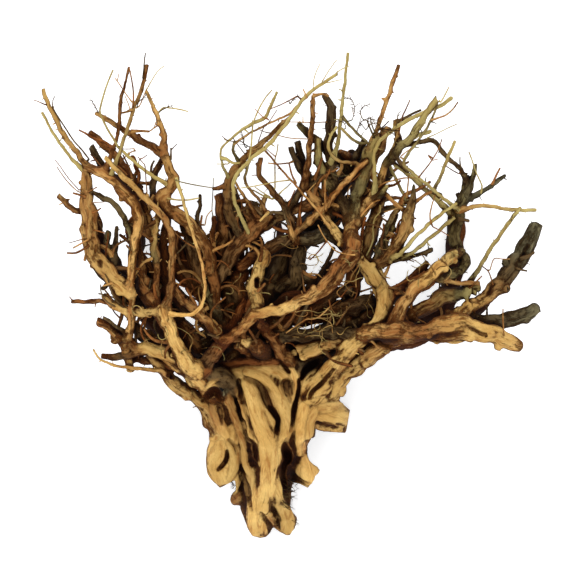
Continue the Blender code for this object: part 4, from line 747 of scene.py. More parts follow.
# Knots: stubs of lost side roots, that swell a root here and there. They grow on roots with a mean
# radius in this range, at this spacing, from the first place to short of the root's end. Then come
# how they lean, and their size and shape.
KNOT_BEARERS = (2.4, 10.5)
KNOT_SPACING = 21.0
KNOT_FIRST = (0.3, 1.0)
KNOT_STRIDE = (0.5, 1.6)
KNOT_LAST = 0.4
KNOT_LEAN = (-0.2, 0.7)
KNOT_SHARE = (0.34, 0.62)
KNOT_REACH = (0.5, 3.8)
KNOT_ROOT = 0.2
KNOT_FLARE = (0.85, 1.25)
KNOT_POINTS = 5

# Small roots that fill the crown: how many, the part of the sheet where they grow and how high,
# the spot that they fan out from, and their size, bend, slope and taper.
ROOTLETS = 410
ROOTLET_AREA = (112, 178, 440, 352)
ROOTLET_LOWEST = 96.0
ROOTLET_HIGHEST = 172.0
ROOTLET_CARRIER = 2.5
ROOTLET_SOURCE = (262.0, 372.0)
ROOTLET_FAN = 0.8
ROOTLET_LENGTH = (16.0, 52.0)
ROOTLET_RADIUS = (0.9, 2.6)
ROOTLET_BEND = 0.10
ROOTLET_STEP = 4.0
ROOTLET_SLOPE = (0.05, 0.25)
ROOTLET_TAPER = 0.5
ROOTLET_REACH = 3
ROOTLET_TONES = ("rust", "rust dark", "bark", "bark", "dark", "dark bark", "tan")

# How a root's skin swells and ridges, as shares of its radius, and the draws of each root's pattern.
# Then come how much roots differ in shade, the most that the skin swells in millimetres, and how
# deep inside its own root a cut face lies when it no longer swells.
FOLD_COUNT = 4
FOLD_ORDERS = (2, 7)
FOLD_TWIST = 0.12
FOLD_HEIGHT = 0.17
LUMP_COUNT = 3
LUMP_ORDERS = (0, 3)
LUMP_PACES = (0.5, 1.6)
LUMP_HEIGHT = 0.045
FISSURE_COUNTS = (5, 9)
FISSURE_DEPTH = 0.06
FISSURE_WIDTH = 0.16
WOBBLE = 0.8
WOBBLE_PACE = 1.7
SHADE_SPREAD = 0.12
MOST_SWELLING = 2.2
CUT_FADE = 1.5

# A point of the skin belongs to the roots that are near it.
SKIN_REACH = 5.0
CLAIM_LIMIT = 12.0
CLAIM_WIDTH = 0.7
GRAIN_SHIFT = 211.0

# Light that falls through the crown spreads from each cell over a cross of cells. Then come how
# many cells above the skin it is read, over how many rounds it is evened out, how much of it
# counts as dark and as bright, and the factor of the shade painted on wood without it.
CELLS_IN_CROSS = 5.0
SKY_LIFT = 1.5
SKY_ROUNDS = 4
SKY_DARK = 0.32
SKY_BRIGHT = 0.97
PAINTED_CROWN_SHADE = (0.17, 0.105, 0.055)

# Painted shade in crevices: over how many rounds they are felt, how deep they count in full, and
# how dark the shade is.
HOLLOW_ROUNDS = 3
CREVICE_DEPTH = 0.15
CREVICE_SHADE = 0.75
TRUNK_CREVICE_SHADE = 0.5

# Painted shade on a root's flanks, which face sideways or down: the factor that darkens their
# colour, how much of it the trunk has, and the rise of the normal over which they turn into its top.
FLANK_SHADE = (0.60, 0.50, 0.38)
TRUNK_FLANK_SHADE = 0.6
FLANK_START = 0.26
FLANK_SLOPE = 0.80

# Bark: how much its cover counts against noise, how much more is left on flanks, in the crown's
# shelter and in hollows, where the dark bark also serves as painted shade, and how much less
# there is on the trunk and on thin stems.
COVER_WEIGHT = 0.45
FLANK_COVER_AND_SHADE = 0.48
SHELTER_COVER_AND_SHADE = 0.50
HOLLOW_COVER_AND_SHADE = 0.30
TRUNK_BARE = 0.12
STEM_BARE = 0.06

# The pieces that the wood is divided into, by where the middle of a root shows on the sheet.
UNDER_LIMIT = 270.0
CROWN_LIMITS = (("left_crown_wood", 185.0), ("middle_crown_wood", 320.0),
    ("right_crown_wood", 420.0), ("far_right_wood", 999.0))

# Thin stems, twigs, spurs and hairs are swept tubes with few sides.
STEM_SIDES = 8
TWIG_SIDES = 7
SPUR_SIDES = 5
HAIR_SIDES = 4
STEM_ROUGHNESS = 0.05
STEM_FLARE = 0.6
FLARE_REACH = 3.0
TIP_REACH = 0.5

# Fine growth stands on wood within this reach. A base that isn't this deep in the wood is led on,
# to this share of the wood's radius from its axis.
FOOTING_REACH = 14.0
FOOTING_DEPTH = 0.4
FOOTING_SEAT = 0.5

# Twigs lie on the wood under them, searched for in wider and wider squares. The base is sunk and
# the rest kept clear by shares of the twig's radius. No fine growth stands above HIGHEST.
TWIG_SEARCH = (3, 6, 12, 24)
TWIG_SINK = 0.5
TWIG_CLEARANCE = 0.8
TWIG_RISE = 0.12
TWIG_TIP = 0.75
HIGHEST = 232.0

# Short broken spurs on the roots: their spacing, size, place and shape.
SPUR_SPACING = 20.0
SPUR_THICKEST = 9.0
SPUR_STRAY = 0.45
SPUR_SCATTER = 0.35
SPUR_LEAN = 0.35
SPUR_REACH = (0.8, 5.5)
SPUR_RADIUS = (0.3, 0.7)
SPUR_SEAT = 0.6
SPUR_BEND = 0.3
SPUR_TAPER = (0.7, 1.0, 1.5)

# Threads: wandering lines on the wood, in steps of this length. Each turn keeps a part of the last.
# Then come where wood is searched for at the base, and the most that a thread drops behind a crest.
THREAD_STEP = 1.2
TURN_MEMORY = 0.85
THREAD_REACH = 2
THREAD_SEARCH = (4, 8, 14)
THREAD_DROP = 6.0
# A thread's radius, the share of it at the tip, and the rise with each step towards the tip.
SPRAY_THREAD = (0.6, 0.5, 0.35)
TWIGLET_THREAD = (0.38, 0.5, 0.3)
HAIR_THREAD = (0.28, 0.5, -0.1)
CURL_RADIUS = (0.35, 0.65)
CURL_TIP = 0.6
CURL_RISE = 0.05
# How much a thread bends in each step.
SPRAY_BEND = 0.05
TWIGLET_BEND = 0.08
CURL_BEND = 0.10
HAIR_BEND = 0.12
# Twiglets of a spray: the first one and their spacing in steps, their angle in radians, and
# their length as a share of the spray's.
FIRST_TWIGLET = 3
TWIGLET_SPACING = 2
TWIGLET_ANGLE = (0.5, 1.0)
TWIGLET_SHARE = (0.15, 0.4)
# Length of the curls, how far the hairs of a tuft fan out in degrees, and the length of a hair as
# a share of the tuft's longest.
CURL_LENGTH = (12, 34)
HAIR_FAN = 35.0
HAIR_SHARE = (0.4, 1.0)

# Noises of the wood: how far they are drawn out along the grain, their scale per millimetre,
# detail, roughness and distortion. The blotches' scale is the material's own.
FIBRE_NOISE = (0.08, 0.75, 5.0, 0.65, 0.6)
FINE_NOISE = (0.12, 2.2, 3.0, 0.6, 0.0)
CRUMB_NOISE = (0.26, 0.32, 6.0, 0.74, 0.6)
FLAKE_NOISE = (0.26, 0.95, 4.0, 0.70, 0.4)
BLOTCH_STRETCH = 0.22
BLOTCH_NOISE = (6.0, 0.68, 0.9)
# Noises in space: scale per millimetre, detail, roughness and distortion.
CLOUD_NOISE = (0.030, 5.0, 0.62, 0.5)
BARK_NOISE = (0.050, 7.0, 0.70, 0.7)

# Patches of the second tone: where they start, how wear widens them, their edge and strength.
PATCH_START = 0.74
PATCH_WEAR = 0.60
PATCH_EDGE = 0.12
PATCH_STRENGTH = 0.85
# Tints of bare wood: the noise that drives one, the noise's values where it starts and is full,
# its strength, and the colour that the wood is multiplied by.
TINTS = (
    ("cloud", 0.42, 0.62, 0.55, (0.76, 0.63, 0.46, 1.0)),
    ("cloud", 0.46, 0.34, 0.7, (1.16, 1.18, 1.20, 1.0)),
    ("fibre", 0.54, 0.76, 0.80, (0.56, 0.37, 0.21, 1.0)),
    ("fine", 0.50, 0.68, 0.8, (1.22, 1.20, 1.16, 1.0)),
)
# Bark that is left: the shares of its two noises, its ragged edge, and its light and dark flakes.
BARK_CLOUD = 0.42
BARK_CRUMB = 0.58
BARK_EDGE = 0.06
BARK_LIGHT = (0.48, 0.32, 0.17, 1.0)
BARK_DARK = (0.18, 0.11, 0.055, 1.0)
BARK_FLAKES = (0.40, 0.62)
# Dark specks and the shade painted into hollows: their colour, the flakes that turn to dark
# specks, and the strength of the hollows' painted shade.
SPECK_AND_SHADE_COLOUR = (0.16, 0.07, 0.03, 1.0)
DARK_SPECK_FLAKES = (0.66, 0.72, 0.0, 0.6)
HOLLOW_SHADE_STRENGTH = 0.94
# Relief: the weights of its noises, how much of the bark's roughness shows on bare wood, and the
# bark's thickness.
FIBRE_RELIEF = -1.0
FINE_RELIEF = 0.4
CRUMB_RELIEF = 1.6
FLAKE_RELIEF = 0.9
BARE_RELIEF = 0.35
BARK_THICKNESS = 0.5
# Roughness of bare wood and of bark, and the faint shine of both.
BARE_ROUGHNESS = 0.66
BARK_ROUGHNESS = 0.92
SPECULAR = 0.12
# The two looks: depth of the relief in metres, and scale of the blotches per millimetre.
ROOT_LOOK = (0.0009, 0.16)
STEM_LOOK = (0.0004, 0.35)

# The studio: lengths in metres, each light's place, size and power in watts, and the camera's
# sensor in millimetres.
FLOOR_SIZE = 12.0
FLOOR_COLOUR = (0.92, 0.92, 0.92, 1.0)
FLOOR_ROUGHNESS = 0.9
# The floor's glow lights the wood from below and keeps the shadows on the floor faint.
FLOOR_GLOW = 0.55
WHITE = (1.0, 1.0, 1.0, 1.0)
WORLD_LIGHT = 0.95
LIGHT_TARGET = (0.0, 0.0, 0.1)
LIGHTS = (
    ("key", (-1.3, 1.7, 2.6), 1.2, 26.0),
    ("fill", (1.8, -0.6, 2.2), 2.0, 3.0),
    ("front", (0.0, -2.2, 2.0), 1.6, 2.0),
)
SENSOR = 36.0
CAMERA_FAR = 20.0


def linear(colour):
    """Turn an sRGB colour of 0 to 255 into linear light."""
    share = np.asarray(colour, float) / 255.0
    return np.where(share <= 0.04045, share / 12.92, ((share + 0.055) / 1.055) ** 2.4)


def placed(point):
    """Turn a point on the sheet, seen from one eye point, into (x, y, z, radius) in millimetres."""
    across, down, height, radius = point
    spread = 1.0 - (height - SHEET_HEIGHT) / EYE_DISTANCE
    x = SHEET_MIDDLE[0] - SHEET_ORIGIN[0] + (across - SHEET_MIDDLE[0]) * spread
    y = SHEET_ORIGIN[1] - SHEET_MIDDLE[1] - (down - SHEET_MIDDLE[1]) * spread
    return np.array((x, y, height, radius))


def on_sheet(samples):
    """Where samples (x, y, z, ...) show on the sheet: across and down."""
    spread = 1.0 - (samples[:, 2] - SHEET_HEIGHT) / EYE_DISTANCE
    across = (samples[:, 0] - SHEET_MIDDLE[0] + SHEET_ORIGIN[0]) / spread + SHEET_MIDDLE[0]
    down = SHEET_MIDDLE[1] - (samples[:, 1] - SHEET_ORIGIN[1] + SHEET_MIDDLE[1]) / spread
    return across, down


def curve_through(knots, step=CURVE_STEP):
    """Sample a smooth curve through the knots of a root, in short even steps."""
    before = 2 * knots[0] - knots[1]
    after = 2 * knots[-1] - knots[-2]
    knots = np.vstack((before, knots, after))
    samples = []
    for first in range(1, len(knots) - 2):
        a, b, c, d = knots[first - 1:first + 3]
        length = np.linalg.norm(c[:3] - b[:3])
        count = max(1, round(length / step))
        for t in np.linspace(0.0, 1.0, count, endpoint=False):
            slope = (c - a) * t + (2 * a - 5 * b + 4 * c - d) * t ** 2 + (3 * b - a - 3 * c + d) * t ** 3
            samples.append(b + 0.5 * slope)
    samples.append(knots[-2])
    return np.array(samples)


def seat(end, grown):
    """Gap between a root's end and the grown wood that could carry it, and the nearest point there."""
    able = grown[grown[:, 3] >= CARRIER_SHARE * end[3]]
    if not len(able):
        return math.inf, end
    away = able[:, :3] - end[:3]
    away[:, 2] *= HEIGHT_WEIGHT
    gaps = np.linalg.norm(away, axis=1) - able[:, 3]
    nearest = gaps.argmin()
    return gaps[nearest], able[nearest]


def grow(roots, carriers=None):
    """Grow the roots one after another, each from the wood so far, so that all hang together."""
    waiting = {name: np.array([placed(p) for p in points]) for name, (_, points) in roots.items()}
    done = {}
    if carriers is None:
        first = next(iter(waiting))
        done[first] = curve_through(waiting.pop(first))
        carriers = done[first]
    seats = {name: seat(knots[-1], carriers) for name, knots in waiting.items()}
    while waiting:
        name = min(waiting, key=lambda other: seats[other][0])
        knots = waiting.pop(name)
        carrier = seats.pop(name)[1]
        reach = carrier[:3] - knots[-1][:3]
        distance = max(np.linalg.norm(reach), SEAT_DEPTH * carrier[3])
        move = reach * (1.0 - SEAT_DEPTH * carrier[3] / distance)
        knots[-1][:3] += move
        knots[-2][2] += FOLLOWING_SHARE * move[2]
        done[name] = curve_through(knots)
        for other, others_knots in waiting.items():
            found = seat(others_knots[-1], done[name])
            seats[other] = min(seats[other], found, key=lambda gap_and_place: gap_and_place[0])
    return {name: done[name] for name in roots}


def smoothstep(value):
    """Ease from 0 to 1 as the value goes from 0 to 1."""
    value = np.clip(value, 0.0, 1.0)
    return value * value * (3.0 - 2.0 * value)


def lengths_along(samples):
    """Length from the first sample to each sample."""
    return np.concatenate(([0.0], np.cumsum(np.linalg.norm(np.diff(samples[:, :3], axis=0), axis=1))))


def frames_along(samples):
    """Direction of the root at each sample, and two sideways directions that barely turn."""
    ahead = np.gradient(samples[:, :3], axis=0)
    ahead /= np.linalg.norm(ahead, axis=1, keepdims=True)
    helper = (0.0, 0.0, 1.0) if abs(ahead[0][2]) < STEEP else (1.0, 0.0, 0.0)
    side = np.empty_like(ahead)
    side[0] = np.cross(ahead[0], helper)
    side[0] /= np.linalg.norm(side[0])
    for k in range(1, len(side)):
        turned = side[k - 1] - ahead[k] * (side[k - 1] @ ahead[k])
        side[k] = turned / np.linalg.norm(turned)
    return ahead, side, np.cross(ahead, side)


def distance_outside(outline, part):
    """Distances of the sheet's spots from an outline, negative inside it, on a grid over a part."""
    left, top, right, bottom = part
    columns, rows = np.arange(left, right, OUTLINE_STEP), np.arange(top, bottom, OUTLINE_STEP)
    across, down = np.meshgrid(columns, rows)
    nearest = np.full(across.shape, FAR)
    inside = np.zeros(across.shape, bool)
    for (x0, y0), (x1, y1) in zip(outline, np.roll(outline, -1, axis=0)):
        run_x, run_y = x1 - x0, y1 - y0
        square = run_x ** 2 + run_y ** 2
        share = np.clip(((across - x0) * run_x + (down - y0) * run_y) / square, 0.0, 1.0)
        gap = np.hypot(across - x0 - share * run_x, down - y0 - share * run_y)
        nearest = np.minimum(nearest, gap)
        if y0 != y1:
            crossing = (down >= min(y0, y1)) & (down < max(y0, y1))
            inside ^= crossing & (across < x0 + (down - y0) / (y1 - y0) * run_x)
    return np.where(inside, -nearest, nearest)


def read_between(table, row, column):
    """Values of a table at fractional rows and columns."""
    i, j = column.astype(int), row.astype(int)
    u, v = column - i, row - j
    values = (table[j, i] * (1 - u) + table[j, i + 1] * u) * (1 - v)
    values += (table[j + 1, i] * (1 - u) + table[j + 1, i + 1] * u) * v
    return values


def smooth_least(first, second, blend):
    """The lesser of two distances, rounded where they are within the blend of each other."""
    overlap = np.maximum(blend - np.abs(first - second), 0.0) / blend
    return np.minimum(first, second) - overlap * overlap * blend * MEETING_DIP


def smooth_most(first, second, blend):
    """The greater of two distances, rounded where they are within the blend of each other."""
    return -smooth_least(-first, -second, blend)


class WoodGrid:
    """Signed distances to the skin of the wood on an even grid; negative is inside."""

    def __init__(self, low, high):
        self.low = np.asarray(low, float)
        self.count = np.ceil((np.asarray(high) - self.low) / VOXEL).astype(int) + 1
        self.depth = np.full(self.count, FAR, np.float32)

    def window(self, low, high):
        """Slices of the grid that cover a box."""
        first = np.clip(np.floor((low - self.low) / VOXEL).astype(int), 0, self.count)
        last = np.clip(np.ceil((high - self.low) / VOXEL).astype(int) + 1, 0, self.count)
        return tuple(slice(a, b) for a, b in zip(first, last))

    def lines(self, window):
        """Coordinates of a window, one open array for each direction."""
        cells = [np.arange(part.start, part.stop) for part in window]
        return np.ix_(*((low + VOXEL * cell).astype(np.float32) for low, cell in zip(self.low, cells)))

    def tube(self, samples, reach, cut=None):
        """Distance to a tube's skin and length along it, in the window that the tube covers."""
        margin = samples[:, 3].max() + reach
        window = self.window(samples[:, :3].min(0) - margin, samples[:, :3].max(0) + margin)
        shape = tuple(s.stop - s.start for s in window)
        near = np.full(shape, FAR, np.float32)
        along = np.zeros(shape, np.float32)
        lengths = lengths_along(samples)
        for k in range(len(samples) - 1):
            a, b = samples[k], samples[k + 1]
            border = max(a[3], b[3]) + reach
            part = self.window(np.minimum(a, b)[:3] - border, np.maximum(a, b)[:3] + border)
            local = tuple(slice(p.start - w.start, p.stop - w.start) for p, w in zip(part, window))
            x, y, z = self.lines(part)
            step = b[:3] - a[:3]
            square = max(float(step @ step), TINY)
            share = ((x - a[0]) * step[0] + (y - a[1]) * step[1] + (z - a[2]) * step[2]) / square
            has_cut = k == 0 and cut is not None
            on_axis = np.clip(share, BOUNDLESS if has_cut else 0.0, 1.0)
            away = np.sqrt((x - a[0] - on_axis * step[0]) ** 2 + (y - a[1] - on_axis * step[1]) ** 2
                + (z - a[2] - on_axis * step[2]) ** 2)
            share = np.clip(share, 0.0, 1.0)
            gap = away - (a[3] + (b[3] - a[3]) * share)
            if has_cut:
                beyond = (x - a[0]) * cut[0] + (y - a[1]) * cut[1] + (z - a[2]) * cut[2]
                gap = np.maximum(gap, beyond)
            target = near[local]
            closer = gap < target
            target[closer] = gap[closer]
            along[local][closer] = (lengths[k] + (lengths[k + 1] - lengths[k]) * share)[closer]
        return window, near, along

    def add(self, samples, cut=None, crossing=CROSSING_BLEND):
        """Fuse a root, which flows smoothly into the wood near its base and barely elsewhere."""
        base_blend = crossing + SEAT_BLEND_SHARE * min(samples[-1, 3], WIDEST_BLEND)
        window, near, along = self.tube(samples, base_blend + BAND, cut)
        total = lengths_along(samples)[-1]
        reach = SEAT_REACH * samples[-1, 3]
        blend = crossing + (base_blend - crossing) * smoothstep(1.0 - (total - along) / reach)
        self.depth[window] = smooth_least(self.depth[window], near, blend)

    def cut(self, samples):
        """Cut a hollow, with slightly rounded lips."""
        window, near, _ = self.tube(samples, HOLLOW_BLEND + BAND)
        self.depth[window] = smooth_most(self.depth[window], -near, HOLLOW_BLEND)

    def keep_inside(self, outline, part):
        """Cut away what shows outside an outline, in a part (left, top, right, bottom) of the sheet."""
        outside = distance_outside(np.array(outline, float), part)
        left, top, right, bottom = part
        corners = [placed((x, y, z, 0.0))[:2] for x in (left, right) for y in (top, bottom)
            for z in (0.0, TRUNK_TOP)]
        low = np.array((*np.min(corners, axis=0), -VOXEL))
        high = np.array((*np.max(corners, axis=0), TRUNK_TOP))
        window = self.window(low, high)
        x, y, z = np.broadcast_arrays(*self.lines(window))
        across, down = on_sheet(np.stack((x, y, z), axis=-1).reshape(-1, 3))
        last_row, last_column = np.array(outside.shape) - LAST_CELL
        column = np.clip((across - left) / OUTLINE_STEP, 0.0, last_column)
        row = np.clip((down - top) / OUTLINE_STEP, 0.0, last_row)
        gap = read_between(outside, row, column).reshape(x.shape).astype(np.float32)
        self.depth[window] = smooth_most(self.depth[window], gap, OUTLINE_BLEND)

    def wear_flat(self):
        """Cut the wood off at the ground."""
        height = self.low[2] + VOXEL * np.arange(self.count[2])
        self.depth = np.maximum(self.depth, -height[None, None, :].astype(np.float32))

    def skin(self):
        """Points of the skin in millimetres, and its faces of four corners."""
        grid = openvdb.FloatGrid(BAND)
        grid.copyFromArray(np.clip(self.depth, -BAND, BAND))
        points, quads = grid.convertToQuads()
        return points * VOXEL + self.low, quads


def main_shell(points, quads):
    """Keep the largest skin only: sealed hollows are filled and loose scraps are dropped."""
    label = np.arange(len(points))
    while True:
        lowest = label[quads].min(axis=1)
        before = label.copy()
        for corner in range(4):
            np.minimum.at(label, quads[:, corner], lowest)
        label = label[label]
        if (label == before).all():
            break
    names, counts = np.unique(label[quads[:, 0]], return_counts=True)
    kept = quads[label[quads[:, 0]] == names[counts.argmax()]]
    used, inverse = np.unique(kept, return_inverse=True)
    return points[used], inverse.reshape(-1, 4)


def point_normals(points, faces):
    """Mean outward direction of the four-cornered faces at each point."""
    a, b, c, d = (points[faces[:, corner]] for corner in range(4))
    across = np.cross(c - a, d - b)
    total = np.zeros_like(points)
    for axis in range(3):
        total[:, axis] = sum(np.bincount(corner, across[:, axis], len(points)) for corner in faces.T)
    return total / np.maximum(np.linalg.norm(total, axis=1, keepdims=True), TINY)


def tone_values(tones, share):
    """Main colour, patch colour and patch share at a share of the way along a root."""
    names = tones.split()
    stops = np.linspace(0.0, 1.0, len(names))
    main = np.array([linear(TONES[name][0]) for name in names])
    patch = np.array([linear(TONES[name][1]) for name in names])
    worn = np.array([TONES[name][2] for name in names])
    place = np.clip(share, 0.0, 1.0)
    blend = [np.interp(place, stops, column) for column in (*main.T, *patch.T, worn)]
    return np.stack(blend, axis=-1)


class RootPattern:
    """How one root's skin swells and ridges, drawn once for each root."""

    def __init__(self, random, radius):
        self.folds = random.integers(*FOLD_ORDERS, FOLD_COUNT)
        self.twist = random.normal(0.0, FOLD_TWIST, FOLD_COUNT) / radius
        self.phase = random.uniform(0.0, math.tau, FOLD_COUNT)
        self.lump_phase = random.uniform(0.0, math.tau, LUMP_COUNT)
        self.lump_pace = random.uniform(*LUMP_PACES, LUMP_COUNT) / radius
        self.lump_fold = random.integers(*LUMP_ORDERS, LUMP_COUNT)
        self.fissures = random.integers(*FISSURE_COUNTS)
        self.fissure_phase = random.uniform(0.0, math.tau)
        self.shade = 1.0 + random.normal(0.0, SHADE_SPREAD)

    def swell(self, angle, along):
        """Share of the radius by which the skin stands out."""
        total = np.zeros_like(along)
        for fold, twist, phase in zip(self.folds, self.twist, self.phase):
            total += FOLD_HEIGHT / fold * np.sin(fold * angle + twist * along + phase)
        for pace, fold, phase in zip(self.lump_pace, self.lump_fold, self.lump_phase):
            total += LUMP_HEIGHT * np.sin(pace * along + fold * angle + phase)
        wobble = WOBBLE * np.sin(along * self.lump_pace[0] * WOBBLE_PACE + self.phase[0])
        groove = np.abs(np.sin(0.5 * (self.fissures * angle + wobble + self.fissure_phase)))
        total -= FISSURE_DEPTH * np.exp(-((groove / FISSURE_WIDTH) ** 2))
        return total


def nearest_on_root(points, samples, frames):
    """For each point: distance to the skin, length along, and the sideways offsets from the axis."""
    lengths = lengths_along(samples)
    _, side, up = frames
    best = np.full(len(points), FAR)
    along = np.zeros(len(points))
    offsets = np.zeros((len(points), 2))
    for k in range(len(samples) - 1):
        a, b = samples[k], samples[k + 1]
        border = max(a[3], b[3]) + SKIN_REACH
        low = np.minimum(a, b)[:3] - border
        high = np.maximum(a, b)[:3] + border
        chosen = np.nonzero(((points > low) & (points < high)).all(axis=1))[0]
        if not len(chosen):
            continue
        offset = points[chosen] - a[:3]
        step = b[:3] - a[:3]
        share = np.clip(offset @ step / max(step @ step, TINY), 0.0, 1.0)
        away = offset - share[:, None] * step
        gap = np.linalg.norm(away, axis=1) - (a[3] + (b[3] - a[3]) * share)
        closer = gap < best[chosen]
        taken = chosen[closer]
        best[taken] = gap[closer]
        along[taken] = lengths[k] + (lengths[k + 1] - lengths[k]) * share[closer]
        across = side[k] + (side[k + 1] - side[k]) * share[closer, None]
        upward = up[k] + (up[k + 1] - up[k]) * share[closer, None]
        offsets[taken, 0] = (away[closer] * across).sum(axis=1)
        offsets[taken, 1] = (away[closer] * upward).sum(axis=1)
    return best, along, offsets


class Skin:
    """Per-point values of the fused wood: what root it belongs to, its tone, grain and swelling."""

    def __init__(self, points):
        self.points = points
        count = len(points)
        self.nearest = np.full(count, FAR)
        self.owner = np.zeros(count, int)
        self.grain = np.zeros((count, 3))
        self.weight = np.full(count, TINY)
        self.tone = np.zeros((count, 7))
        self.swelling = np.zeros(count)

    def mark(self, number, samples, tones, pattern):
        """Let one root claim the points near it, in proportion to how near they are."""
        border = samples[:, 3].max() + SKIN_REACH
        low = samples[:, :3].min(0) - border
        high = samples[:, :3].max(0) + border
        chosen = np.nonzero(((self.points > low) & (self.points < high)).all(axis=1))[0]
        gap, along, offsets = nearest_on_root(self.points[chosen], samples, frames_along(samples))
        near = gap < SKIN_REACH
        chosen, gap, along, offsets = chosen[near], gap[near], along[near], offsets[near]
        weight = np.exp(-np.clip(gap, -CLAIM_LIMIT, None) / CLAIM_WIDTH)
        lengths = lengths_along(samples)
        radius = np.interp(along, lengths, samples[:, 3])
        angle = np.arctan2(offsets[:, 1], offsets[:, 0])
        self.weight[chosen] += weight
        values = tone_values(tones, along / lengths[-1])
        values[:, :6] *= pattern.shade
        self.tone[chosen] += weight[:, None] * values
        self.swelling[chosen] += weight * radius * pattern.swell(angle, along)
        closest = gap < self.nearest[chosen]
        owned = chosen[closest]
        self.nearest[owned] = gap[closest]
        self.owner[owned] = number
        self.grain[owned, 0] = offsets[closest, 0] + number * GRAIN_SHIFT
        self.grain[owned, 1] = offsets[closest, 1]
        self.grain[owned, 2] = along[closest]

    def finish(self):
        """Turn the weighted sums into means."""
        self.tone /= self.weight[:, None]
        self.swelling /= self.weight


def link_list(faces):
    """Edges of the faces as two arrays of point numbers, each edge in both directions."""
    corners = faces.shape[1]
    sides = np.concatenate([faces[:, [k, (k + 1) % corners]] for k in range(corners)])
    return np.concatenate((sides[:, 0], sides[:, 1])), np.concatenate((sides[:, 1], sides[:, 0]))


def averaged(values, links, rounds):
    """Spread values over neighbouring points."""
    start, end = links
    count = len(values)
    degree = np.maximum(np.bincount(start, minlength=count), 1)
    for _ in range(rounds):
        values = 0.5 * values + 0.5 * np.bincount(start, values[end], count) / degree
    return values


def hollowness(points, normals, links):
    """How far each point lies below its surroundings, in millimetres: crevices are positive."""
    start, end = links
    step = ((points[end] - points[start]) * normals[start]).sum(axis=1)
    degree = np.maximum(np.bincount(start, minlength=len(points)), 1)
    return averaged(np.bincount(start, step, len(points)) / degree, links, HOLLOW_ROUNDS)


def flank_share(rise):
    """How much a point faces sideways or down, from the rise of its normal."""
    return 1.0 - smoothstep(FLANK_START + FLANK_SLOPE * rise)


def bark_cover(worn, rise, open_share, hollow_shade):
    """Share of bark left: more on flanks, in the crown's shelter and in hollows, there also as painted
    shade.
    """
    on_flanks = FLANK_COVER_AND_SHADE * flank_share(rise)
    in_shelter = SHELTER_COVER_AND_SHADE * (1.0 - open_share)
    return worn + on_flanks + in_shelter + HOLLOW_COVER_AND_SHADE * hollow_shade


def tube_faces(rings, sides):
    """Triangles of a tube: its walls, then the caps at its tip and base, whose middles come last."""
    first = np.arange(rings - 1)[:, None] * sides
    here = np.arange(sides)
    there = (here + 1) % sides
    walls = np.stack((first + here, first + there, first + sides + there, first + sides + here), -1)
    walls = walls.reshape(-1, 4)
    tip = np.full(sides, rings * sides)
    last = (rings - 1) * sides
    return np.vstack((walls[:, [0, 1, 2]], walls[:, [0, 2, 3]], np.stack((tip, there, here), -1),
        np.stack((tip + 1, last + here, last + there), -1)))


def new_mesh(name, points, faces, values, normals=None):
    """A mesh object from millimetre points, faces and per-point values."""
    mesh = bpy.data.meshes.new(name)
    mesh.vertices.add(len(points))
    mesh.vertices.foreach_set("co", (points * MILLIMETRE).astype(np.float32).ravel())
    corners = faces.shape[1]
    mesh.loops.add(faces.size)
    mesh.loops.foreach_set("vertex_index", faces.astype(np.int32).ravel())
    mesh.polygons.add(len(faces))
    mesh.polygons.foreach_set("loop_start", np.arange(0, faces.size, corners, dtype=np.int32))
    mesh.polygons.foreach_set("loop_total", np.full(len(faces), corners, dtype=np.int32))
    mesh.update(calc_edges=True)
    mesh.shade_smooth()
    if normals is not None:
        mesh.normals_split_custom_set_from_vertices(normals.astype(np.float32))
    for title in ("tone", "patch"):
        layer = mesh.attributes.new(title, "FLOAT_COLOR", "POINT")
        colour = np.ones((len(points), 4), np.float32)
        colour[:, :3] = values[title]
        layer.data.foreach_set("color", colour.ravel())
    layer = mesh.attributes.new("grain", "FLOAT_VECTOR", "POINT")
    layer.data.foreach_set("vector", values["grain"].astype(np.float32).ravel())
    for title in ("worn", "hollow_shade", "cover_and_shade"):
        layer = mesh.attributes.new(title, "FLOAT", "POINT")
        layer.data.foreach_set("value", values[title].astype(np.float32))
    piece = bpy.data.objects.new(name, mesh)
    bpy.context.scene.collection.objects.link(piece)
    return piece


